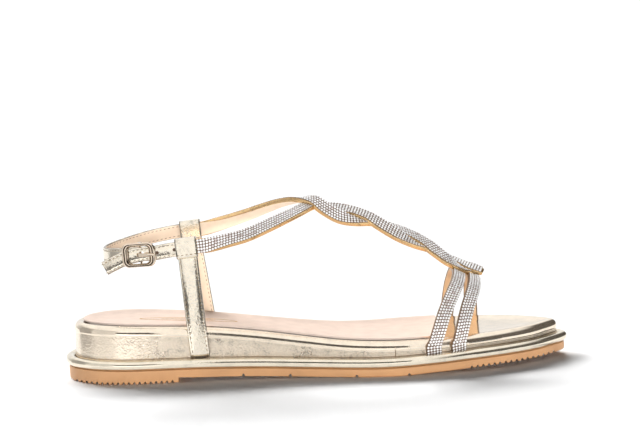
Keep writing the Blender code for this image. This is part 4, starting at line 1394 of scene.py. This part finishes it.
def leather_strap(name, frames, width, thickness, lined=True):
    """A folded strap, its lining where `lined` asks for one, and the four rows of its seams.
    """
    w, t = width / 2, thickness / 2
    section = folded_section(width, thickness)
    strap = sweep(name, frames, section, gold)
    # Painted shade: the outermost quarter millimetre of each edge is darkened to draw the
    # strap's outline.
    wear_and_shade = [float(abs(a) > w - 0.25) for a, _ in section]
    store_values(strap, "edge_wear", wear_and_shade * len(frames.spot))
    if lined:
        inner = sweep(f"{name}_lining", frames,
                      ribbon_section(width - 0.9, -t - 0.12, -t + 0.2), lining)
        finish_piece(inner)
    places = (-(w - SEAM_FROM_EDGE), w - SEAM_FROM_EDGE)
    sew(f"{name}_seams", lines_on(frames, places, t - 0.12))
    sew(f"{name}_inner_seams", lines_on(frames, places, -t - 0.1, -1.0), peach_thread)
    return strap


print("a folded section has", len(folded_section(8.0, 1.5)), "corners")

# %% [markdown]
# ## Loops at the ankle
#
# Each upright is turned over at its top into a loop that the ankle strap slips
# through.  It is a flat tube with a rounded rectangle for its section: one row
# of rings goes along outside, the next comes back inside, and the two join at
# both mouths.  The material darkens the mouths and the whole inside of the
# tube as painted shade, by a value that the mesh carries.

# %% Loop at the top of an upright
UPRIGHT_WIDTH, UPRIGHT_THICKNESS = 9.8, 1.7


def rounded(width, height, radius, steps=5):
    """Corners of a rounded rectangle about the origin, anticlockwise."""
    corners = []
    for quarter, (sx, sy) in enumerate(((1, 1), (-1, 1), (-1, -1), (1, -1))):
        for k in range(steps + 1):
            turn = math.pi / 2 * (quarter + k / steps)
            corners.append((sx * (width / 2 - radius) + radius * math.cos(turn),
                            sy * (height / 2 - radius) + radius * math.sin(turn)))
    return corners


def loop_point(part, out, up, forward):
    """A point of an upright's loop: away from the foot, upwards, along."""
    rise, run = math.sin(LOOP_SLOPE), math.cos(LOOP_SLOPE)
    return (part.top + forward * run - up * rise,
            part.side * (LOOP_ACROSS + out),
            part.loop_height + up * run + forward * rise)


def loop_tube(name, part, material):
    """The turned-over end: a flat tube with soft rims at both mouths."""
    slot_out, slot_up = LOOP_SLOT
    wall, half, front = LOOP_WALL, LOOP_LENGTH / 2, LOOP_LENGTH / 2 - 0.8
    shapes = ((wall * 0.35, -half), (0.0, -half + 0.35), (0.0, -half + 0.9),
              (0.0, 0.0), (0.0, front - 0.9), (0.0, front - 0.35), (wall * 0.35, front))
    rings = []
    for trim, forward in shapes:
        size = (slot_out + 2 * wall - trim, slot_up + 2 * wall - trim)
        rings.append([loop_point(part, u, v, forward)
                      for u, v in rounded(*size, 1.75)])
    for trim, forward in shapes[::-1]:
        size = (slot_out + trim, slot_up + trim)
        rings.append([loop_point(part, u, v, forward) for u, v in rounded(*size, 1.2)])
    tube = skin_over(name, rings, material, loop=True)
    # Painted shade on the rims of both mouths and on all the inner rings.
    wear_and_shade = [1.0, 1.0, 0.0, 0.0, 0.0, 1.0, 1.0] + [1.0] * len(shapes)
    store_values(tube, "edge_wear", np.repeat(wear_and_shade, len(rings[0])))
    return tube


print("loop:", LOOP_LENGTH, "mm long, slot", LOOP_SLOT)

# %% [markdown]
# ## Uprights
#
# An upright rises out of the crease beside the heel and leans in to its loop.
# Its face must stay square to the ankle all the way up, so it faces away from
# one point on the shoe's middle line.  A row of stitches across the strap
# closes the loop, and needs only a short line and the same sewing tree.

# %% Uprights
CROSS_SEAM = np.arange(-4.9, 4.3, 0.4)      # mm along, from the loop's middle


def sew_across(name, part):
    """The row of stitches that closes an upright's loop."""
    out, up = LOOP_SLOT[0] / 2 + LOOP_WALL + 0.06, -LOOP_SLOT[1] / 2 + 0.9
    spots = [loop_point(part, out, up, forward) for forward in CROSS_SEAM]
    line = add_mesh("cross_line", spots, edges=[(k, k + 1)
                                                for k in range(len(spots) - 1)])
    store_values(line, "outward", [(0.0, part.side, 0.0)] * len(spots), "FLOAT_VECTOR")
    sew(name, line)


def make_upright(label, part):
    """One upright from its foot to its loop, with all its seams."""
    below = part.loop_height - LOOP_SLOT[1] / 2 - LOOP_WALL / 2
    inner = part.side * (LOOP_ACROSS - LOOP_SLOT[0] / 2 - LOOP_WALL / 2 + 0.2)
    rows = foot_of_strap(part.foot, part.side)
    low = rows[-1]
    for share in (0.3, 0.65, 1.0):
        rows.append(StrapRow(part.foot + (part.top - part.foot) * share,
                             low.across + (inner - low.across) * share ** 2,
                             low.height + (below - low.height) * share, 0))
    frames = strap_frames(rows, facing=part.facing)
    strap = leather_strap(f"{label}_strap", frames, UPRIGHT_WIDTH, UPRIGHT_THICKNESS)
    finish_piece(strap, [label])
    finish_piece(loop_tube(f"{label}_loop", part, gold))
    sew_across(f"{label}_cross_seam", part)
    print(label, "stands", round(below, 1), "mm high under its loop")


make_upright("lateral_upright", LATERAL)
make_upright("medial_upright", MEDIAL)

# %% [markdown]
# ## The buckle's own axes
#
# The buckle lies askew on the outer side of the ankle.  Working it out in the
# shoe's axes would hide its simple shape, so it is drawn in its own: forward
# along the strap, up, and out of the foot.  One function turns such a point
# into the shoe's axes, for the buckle and for the strap that passes through.

# %% Buckle axes
BUCKLE_CENTRE = (40.4, -25.6, 64.5)
BUCKLE_HEADING, BUCKLE_PITCH = math.radians(-10.0), math.radians(2.8)


def buckle_point(forward, up, out):
    """Buckle axes to shoe: forward along the strap, up, out of the foot."""
    ahead = Vector((math.cos(BUCKLE_HEADING) * math.cos(BUCKLE_PITCH),
                    math.sin(BUCKLE_HEADING) * math.cos(BUCKLE_PITCH),
                    math.sin(BUCKLE_PITCH)))
    outward = Vector((math.sin(BUCKLE_HEADING), -math.cos(BUCKLE_HEADING), 0.0))
    upward = outward.cross(ahead)
    return tuple(Vector(BUCKLE_CENTRE) + ahead * forward + upward * up + outward * out)


print("10 mm up from the buckle's middle:",
      [round(c, 1) for c in buckle_point(0.0, 10.0, 0.0)])

# %% [markdown]
# ## Heel strap and billet
#
# The heel strap goes from the inner loop round the back to an eye on the
# buckle's bar.  The billet comes through the outer loop and the buckle, and
# its tail hangs free.  Both are belts: they stand upright all the way round,
# so their frames stay level where the other straps follow the instep.

# %% Belt rows
ANKLE_CENTRE = 64.0
HEEL_STRAP_WIDTH, HEEL_STRAP_THICKNESS = 7.3, 1.5
BILLET_WIDTH, BILLET_THICKNESS = 7.4, 1.3
HEEL_STRAP = (
    StrapRow(50, 27.1, 67.7, 0), StrapRow(42, 24.6, 66.5, 0),
    StrapRow(34.4, 20.4, 65.1, 0), StrapRow(27.8, 14.6, 63.8, 0),
    StrapRow(23, 7.6, 62.9, 0), StrapRow(21.2, 0.0, 62.5, 0),
    StrapRow(22.4, -7.6, 62.7, 0), StrapRow(26, -14.2, 63.2, 0),
    StrapRow(31.2, -19.4, 63.8, 0), StrapRow(36.0, -21.9, 64.2, 0),
    StrapRow(39.8, -22.75, 64.4, 0),
)
BuckleRow = namedtuple("BuckleRow", "forward up")
BILLET_IN_BUCKLE = (
    BuckleRow(9.0, 0.4), BuckleRow(4.5, 0.3), BuckleRow(0.0, 0.0),
    BuckleRow(-4.5, -0.7), BuckleRow(-9.0, -1.9),
)
BILLET_TAIL = (
    StrapRow(26.5, -23.0, 59.8, 0), StrapRow(22.6, -22.2, 57.8, 0, 1, 0.97),
)
print("belts:", HEEL_STRAP_WIDTH, "and", BILLET_WIDTH, "mm wide")

# %% Heel strap and billet
ABOVE_TAB = LOOP_ACROSS - LOOP_SLOT[0] / 2 + 2 * GAP + TAB_THICKNESS


def make_heel_strap():
    """The strap from the inner loop, behind the heel, to the buckle's bar."""
    rows = in_loop(MEDIAL, ABOVE_TAB + HEEL_STRAP_THICKNESS / 2, 1,
                   (4.0, 0.0, -4.0, -8.0)) + list(HEEL_STRAP)
    frames = strap_frames(rows, facing=ANKLE_CENTRE, belt=True)
    strap = leather_strap("heel_band", frames, HEEL_STRAP_WIDTH, HEEL_STRAP_THICKNESS)
    return finish_piece(strap, ["heel_strap"])


def make_billet():
    """The billet, still unpunched, with the frames along it."""
    rows = in_loop(LATERAL, ABOVE_TAB + BILLET_THICKNESS / 2, 1, (4.0, 0.0, -4.0, -9.0))
    for row in BILLET_IN_BUCKLE:
        rows.append(StrapRow(*buckle_point(row.forward, row.up, 0.0), 0, 1))
    frames = strap_frames(rows + list(BILLET_TAIL), facing=ANKLE_CENTRE, belt=True)
    return leather_strap("billet_strap", frames, BILLET_WIDTH, BILLET_THICKNESS,
                         lined=False), frames


make_heel_strap()
billet, billet_frames = make_billet()
print("billet:", round(FRAME_SPACING * len(billet_frames.spot)), "mm long")

# %% [markdown]
# ## Punched holes
#
# The billet has a few round holes and the one that the prong goes through.
# They are real holes, cut by Booleans, because one sees through them.  A punch
# leaves a burnished wall and a faint lip, so a dark ring is set in each free
# hole.  Its darkness is partly that burnish and partly painted shade, and the
# ring closes the hole halfway down with a dark disc, which is painted shade.

# %% Punching the billet
BILLET_HOLES, HOLE_RADIUS, PRONG_HOLE = (58.3, 49.2), 0.8, 41.4     # mm along
PRONG_SLOT = (2.9, 3.0, 1.3)                # length, width, corner
RIM_LIP_WIDTH, RIM_LOW, RIM_PROUD = 0.2, -0.2, 0.16


def punch(centre, ahead, upward, outward, shape):
    """A cutter through a strap: a closed shape carried from inside to outside."""
    return skin_over("punch", [[centre + ahead * u + upward * v + outward * out
                                for u, v in shape] for out in (-3.5, 3.5)])


def burnished_and_shaded_rim(name, centre, ahead, upward, outward):
    """The darkened wall of a punched hole, burnish and painted shade, with a narrow lip
    outside and a dark disc across the hole.
    """
    high = BILLET_THICKNESS / 2 + RIM_PROUD
    corners = ((0.12 - HOLE_RADIUS, RIM_LOW), (0.0, RIM_LOW), (0.0, high),
               (RIM_LIP_WIDTH, high), (RIM_LIP_WIDTH, RIM_LOW - 0.1),
               (0.12 - HOLE_RADIUS, RIM_LOW - 0.1))
    rings = [[centre + outward * out + (HOLE_RADIUS - 0.1 + grow)
              * (ahead * math.cos(t) + upward * math.sin(t)) for t in circle(16)]
             for grow, out in corners]
    return skin_over(name, rings, dark_mesh, loop=True)


def frame_at(frames, along):
    """Middle, run, width and outward of the frame nearest to a place."""
    k = int(np.argmin(np.abs(frames.spot[:, 0] - along)))
    return frames.spot[k], frames.run[k], frames.width[k], frames.outward[k]


round_hole = [(HOLE_RADIUS * math.cos(t), HOLE_RADIUS * math.sin(t)) for t in circle(16)]
for along in BILLET_HOLES:
    axes = frame_at(billet_frames, along)
    cut(billet, punch(*axes, round_hole))
    finish_piece(burnished_and_shaded_rim(f"hole_rim_{int(along)}", *axes))
cut(billet, punch(*frame_at(billet_frames, PRONG_HOLE), rounded(*PRONG_SLOT)))
finish_piece(billet, ["billet"])
print("billet with its holes:", pieces_made["billet_strap"], "faces")

# %% [markdown]
# ## Buckle
#
# A cast centre-bar buckle, plated pale gold: a rounded frame with a raised
# rim outside, a groove, a second ridge and a basin that falls to the
# opening.  Its section is a list of (share of the way in, height), and each
# ring of the skin is a rounded rectangle at that share.  A lathe or a bevel
# couldn't carry one section from the large outline to the small opening.

# %% Cast frame
FRAME_OUTER, FRAME_OPENING = (17.0, 12.1, 3.3), (10.4, 8.7, 2.0)
FRAME_LOW = 0.95
# The third column is painted shade: how dark the plate is made at each ring.
FRAME_SECTION = (     # inward, out, patina
    (0.0, 1.35, 0.3), (0.0, 1.75, 0.0), (0.08, 2.15, 0.0), (0.16, 2.33, 0.0),
    (0.26, 2.33, 0.1), (0.30, 2.1, 1.0), (0.34, 1.85, 1.0), (0.42, 1.85, 1.0),
    (0.46, 2.30, 0.6), (0.50, 2.45, 0.0), (0.62, 2.45, 0.0), (0.68, 2.3, 0.8),
    (0.74, 2.0, 0.9), (0.88, 1.65, 0.3), (0.96, 1.25, 0.55), (1.0, 1.05, 0.8),
    (0.95, 0.98, 0.9), (0.7, 0.95, 0.9), (0.3, 0.95, 0.9), (0.1, 1.05, 0.6))


def make_frame():
    """The frame: its section carried from the outline to the opening."""
    rings = []
    for inward, out, _ in FRAME_SECTION:
        size = [o + (i - o) * inward for o, i in zip(FRAME_OUTER, FRAME_OPENING)]
        rings.append([buckle_point(u, v, out) for u, v in rounded(*size)])
    body = skin_over("buckle_ring", rings, plate, loop=True, crease=30)
    store_values(body, "hollow_shade", np.repeat([row[2] for row in FRAME_SECTION],
                                           len(rings[0])))
    return finish_piece(body, ["buckle_frame"])


make_frame()
print("buckle frame:", FRAME_OUTER[:2], "mm, opening", FRAME_OPENING[:2])

# %% [markdown]
# ## Bar and prong
#
# The bar lies behind the frame, held by a lug at each end, and the heel
# strap's eye goes round it.  The prong is a flat tongue that starts round the
# bar and comes to lie on the frame's front; it tapers, so its rings carry
# their own width.

# %% Bar and lugs
BAR_OUT, BAR_RADIUS, BAR_HALF = -2.75, 0.6, 5.4


def make_bar():
    """The bar behind the frame, with a lug at each end."""
    rings = [[buckle_point(BAR_RADIUS * math.cos(t), up, BAR_OUT + BAR_RADIUS * math.sin(t))
              for t in circle(12)]
             for up in (-BAR_HALF, -BAR_HALF + 0.6, BAR_HALF - 0.6, BAR_HALF)]
    finish_piece(skin_over("buckle_bar", rings, plate))
    for side in (-1, 1):
        up = side * (BAR_HALF + 0.1)
        rings = [[buckle_point(forward, up + v, out)
                  for forward, v in rounded(1.9, 0.9, 0.35)]
                 for out in (BAR_OUT - 0.7, FRAME_LOW + 0.35)]
        finish_piece(skin_over(f"buckle_lug_{side + 1}", rings, plate))


make_bar()
print("bar:", 2 * BAR_HALF, "mm long")

# %% Prong
PRONG = ((-0.4, -3.9), (-1.35, -2.9), (-1.5, -1.2), (-0.9, 0.6), (0.5, 1.9),
         (3.0, 2.7), (5.4, 3.3), (7.4, 3.35), (8.2, 3.1))      # forward, out
PRONG_WIDTHS = (1.6, 1.6, 1.6, 1.8, 1.9, 1.7, 1.5, 1.2, 0.8)
PRONG_HALF = 0.42


def make_prong():
    """The tongue, from round the bar to the frame's front."""
    rows = [(f, 0.0, out, width) for (f, out), width in zip(PRONG, PRONG_WIDTHS)]
    line = evenly(smooth_line(rows, 8), 0.45)
    run = np.gradient(line[:, [0, 2]], axis=0)
    run /= np.linalg.norm(run, axis=1)[:, None]
    rings = [[buckle_point(forward - rise * n, v, out + ahead * n)
              for v, n in rounded(width, 2 * PRONG_HALF, 0.3, 3)]
             for (forward, _, out, width), (ahead, rise) in zip(line, run)]
    return finish_piece(skin_over("buckle_tongue", rings, plate),
                        ["buckle_prong"])


make_prong()
print("pieces of the shoe:", len(pieces_made))

# %% [markdown]
# ## Floor
#
# The shoe stands on a large pale floor, so large that its far edge is never
# seen.  It is part of the studio: staged planes aren't handed over with the
# shoe.

# %% Floor
def stage_plane(name, corners, material, faces=None):
    """A flat part of the studio, which doesn't belong to the shoe."""
    mesh = bpy.data.meshes.new(name)
    mesh.from_pydata(corners, [], faces or [tuple(range(len(corners)))])
    mesh.materials.append(material)
    plane = bpy.data.objects.new(name, mesh)
    bpy.context.scene.collection.objects.link(plane)
    return plane


def matt(name, low, high, scale, glow=0.0):
    """A dull grey between two tones, which may glow a little by itself."""
    material, tree, shader, where = new_material(name)
    speck = add_node(tree, "ShaderNodeTexNoise",
                     {"Vector": where, "Scale": scale}).outputs["Fac"]
    tone = colour_ramp(tree, speck, (0.0, (low,) * 3), (1.0, (high,) * 3))
    feed_node(tree, shader, {"Base Color": tone, "Roughness": 0.9,
                             "Specular IOR Level": 0.1,
                             "Emission Color": (1.0, 1.0, 1.0, 1.0),
                             "Emission Strength": glow})
    return material


FLOOR_HALF = 12.0         # metres
stage_plane("floor", [(x * FLOOR_HALF, y * FLOOR_HALF, 0.0)
                      for x, y in ((-1, -1), (1, -1), (1, 1), (-1, 1))],
            matt("pale_floor", 0.80, 0.82, 3.0))
print("floor:", 2 * FLOOR_HALF, "m wide")

# %% [markdown]
# ## Cards for the foil to mirror
#
# Foil leather shows its surroundings more than itself, so what stands round
# it is placed with care.  A surface that leans back by some angle mirrors
# what stands twice as high.  So black cards out in front draw the dark line
# under the rim and along the welt, grey ones give the walls their tone, and a
# glowing white one, low along the welt, lifts its lower half.  Only mirror
# reflections see the cards: they throw no shadow and tint nothing matt.

# %% Cards in front of the shoe
CARD_ACROSS = -92.0
Card = namedtuple("Card", "name tone outline")      # outline: along, height
STANDING_CARDS = (
    Card("black_card", 0.02, ((-15, 21), (-15, 48), (45, 51), (52, 21))),
    Card("long_card", 0.02, ((74, 21), (77, 66), (110, 62), (150, 54), (182, 46),
                             (182, 20))),
    Card("toe_card", 0.02, ((252, 0.5), (252, 41), (320, 41), (320, 0.5))),
    Card("heel_tone", 0.75, ((-15, 0.5), (53, 0.5), (53, 20.5), (-15, 20.5))),
    Card("wall_tone", 0.60, ((73, 0.5), (182, 0.5), (182, 20.5), (73, 20.5))),
)


def make_card(name, corners, tone, faces=None, glow=0.0):
    """A card that only mirror reflections see."""
    card = stage_plane(name, to_frame(corners).tolist(),
                       matt(name, tone, tone + 0.01, 50.0, glow), faces)
    card.visible_camera = card.visible_diffuse = card.visible_shadow = False


for card in STANDING_CARDS:
    make_card(card.name, [(along, CARD_ACROSS, height) for along, height in card.outline],
              card.tone)
print("standing cards:", [card.name for card in STANDING_CARDS])

# %% [markdown]
# ## Cards that follow the shoe
#
# The welt curves, so it would mirror a straight card as a wavy band.  The
# glowing card therefore follows the outline, a couple of millimetres off.  Two
# plainer cards close the room round the heel, so that its curve darkens evenly
# towards the back.

# %% Cards along the welt and round the heel
WELT_CARD_ALONG, WELT_CARD_OUT = (1.5, 250.0), (1.9, 42.0)    # from, to
HEEL_CARD_ALONG, HEEL_CARD_ACROSS, HEEL_CARD_HEIGHTS = -72, (-30, 40), (0.5, 80)


def make_welt_card(stops=33):
    """A glowing strip that lies along the outer side, just off the floor."""
    (first, last), (near, far) = WELT_CARD_ALONG, WELT_CARD_OUT
    corners = []
    for along in np.linspace(first, last, stops):
        across = edge(along, -1, -near)
        corners += [(along, across, 1.0), (along, across - far, 1.0)]
    make_card("white_card", corners, 0.02, [(k, k + 2, k + 3, k + 1)
                                            for k in range(0, 2 * stops - 2, 2)], glow=0.95)


def heel_wall(name, first, last, tone):
    """An upright card between two (along, across) places."""
    low, high = HEEL_CARD_HEIGHTS
    make_card(name, [(*first, low), (*last, low), (*last, high), (*first, high)], tone)


make_welt_card()
corner, far_corner = [(HEEL_CARD_ALONG, across) for across in HEEL_CARD_ACROSS]
heel_wall("heel_card", corner, far_corner, 0.45)
heel_wall("grey_card", (-15, CARD_ACROSS), corner, 0.6)
print("one card along the welt, two round the heel")

# %% [markdown]
# ## Room
#
# The room is a plain soft gradient: white above, behind and in front, darker
# to the toe's side, the heel's side and low behind.  A mirror ray should find
# it bright, because foil shows the room itself.  Light that has already been
# scattered by something matt should find next to nothing, or it would fill
# the shadow under the sole.  Light Path tells the two apart.

# %% Room
ROOM_IN_MIRRORS, ROOM_ON_MATT = 1.12, 0.03
DARKEST = (0.06, 0.052, 0.045)


def fade(tree, value, low, high):
    """A soft step from one value to another."""
    return remap(tree, value, {"From Min": low, "From Max": high},
                 interpolation_type="SMOOTHSTEP")


def make_room():
    """The gradient all round, brighter for mirrors than for matt things."""
    world = bpy.data.worlds.new("studio")
    world.use_nodes = True
    bpy.context.scene.world = world
    tree = world.node_tree
    where = add_node(tree, "ShaderNodeTexCoord").outputs["Generated"]
    x, y, z = add_node(tree, "ShaderNodeSeparateXYZ", {"Vector": where}).outputs
    toe_side = maths(tree, "MULTIPLY", fade(tree, x, 0.22, 0.5), fade(tree, z, 0.85, 0.6))
    heel_side = maths(tree, "MULTIPLY", fade(tree, x, -0.3, -0.8), fade(tree, z, 0.7, 0.4))
    far_low = maths(tree, "MULTIPLY", fade(tree, y, 0.1, 0.6), fade(tree, z, 0.5, 0.2))
    dark = maths(tree, "MAXIMUM", toe_side, maths(tree, "MULTIPLY", heel_side, 0.55))
    dark = maths(tree, "MAXIMUM", dark, maths(tree, "MULTIPLY", far_low, 0.2))
    tone = colour_ramp(tree, dark, (0.0, (1.0, 1.0, 1.0)), (1.0, DARKEST))
    scattered = add_node(tree, "ShaderNodeLightPath").outputs["Diffuse Depth"]
    glow = remap(tree, scattered, {"To Min": ROOM_IN_MIRRORS, "To Max": ROOM_ON_MATT})
    feed_node(tree, tree.nodes["Background"], {"Color": tone, "Strength": glow})


make_room()
print("room:", ROOM_IN_MIRRORS, "in mirrors,", ROOM_ON_MATT, "on matt surfaces")

# %% [markdown]
# ## Lights
#
# Five soft suns stand side by side behind the shoe, like a long strip light:
# the shadow falls forward under the sole and is soft at its edge.  Two weak
# fills come from the front and from the toe's side, so that the outer walls
# and the inside of the straps aren't left dark.  Suns light all of the floor
# alike, where a lamp nearby would leave a bright patch.

# %% Lights
STRIP_TURNS, STRIP_RISE = (-46, -34, -22, -10, 2), 31       # degrees


def soft_sun(name, where, angle, strength):
    """A softbox far away, which foil doesn't mirror."""
    lamp = bpy.data.lights.new(name, "SUN")
    lamp.angle, lamp.energy = math.radians(angle), strength
    sun = bpy.data.objects.new(name, lamp)
    sun.rotation_euler = Vector(where).to_track_quat("Z", "Y").to_euler()
    sun.visible_glossy = False
    bpy.context.scene.collection.objects.link(sun)


for degrees in STRIP_TURNS:
    turn, rise = math.radians(degrees), math.radians(STRIP_RISE)
    soft_sun(f"strip_behind_{degrees - STRIP_TURNS[0]}",
             (math.sin(turn) * math.cos(rise), math.cos(turn) * math.cos(rise),
              math.sin(rise)), 16, 1.66)
soft_sun("front_fill", (0.0, -1.0, 0.12), 8, 1.5)
soft_sun("side_fill", (0.5, -0.86, 0.015), 8, 2.6)
bpy.context.scene.view_settings.view_transform = "Standard"
print("lights:", len(bpy.data.lights))

# %% [markdown]
# ## Camera
#
# The camera stands low at the outer side, so that the sole's whole edge shows
# and a little of the footbed above it.  It looks slightly down and is rolled
# by a few degrees.  Its lens follows from how much of the shoe's plane the
# view should take in, so the distance can change without changing the size.

# %% Camera
CAMERA_AIM = (131.3, 0.0, 78.0)      # along, across, height, mm
CAMERA_DISTANCE = 1.300              # metres
CAMERA_ELEVATION = math.radians(6.95)
CAMERA_ROLL = math.radians(2.55)
VIEW_WIDTH = 325.12                  # mm taken in at the aim
SENSOR = 36.0
LENS = SENSOR * CAMERA_DISTANCE / (VIEW_WIDTH * MM)


def make_camera():
    """The camera, aimed, rolled and made the scene's own."""
    lens = bpy.data.cameras.new("camera")
    lens.sensor_width, lens.lens = SENSOR, LENS
    lens.clip_end = 50.0
    camera = bpy.data.objects.new("camera", lens)
    bpy.context.scene.collection.objects.link(camera)
    back = Vector((0.0, -math.cos(CAMERA_ELEVATION), math.sin(CAMERA_ELEVATION)))
    right = Vector((1.0, 0.0, 0.0))
    up = back.cross(right)
    turned_right = right * math.cos(CAMERA_ROLL) - up * math.sin(CAMERA_ROLL)
    turned_up = right * math.sin(CAMERA_ROLL) + up * math.cos(CAMERA_ROLL)
    pose = Matrix((turned_right, turned_up, back)).transposed().to_4x4()
    pose.translation = Vector(to_frame(CAMERA_AIM)[0]) + back * CAMERA_DISTANCE
    camera.matrix_world = pose
    bpy.context.scene.camera = camera
    print("camera at", [round(c, 3) for c in pose.translation], "lens", round(LENS, 1))


make_camera()
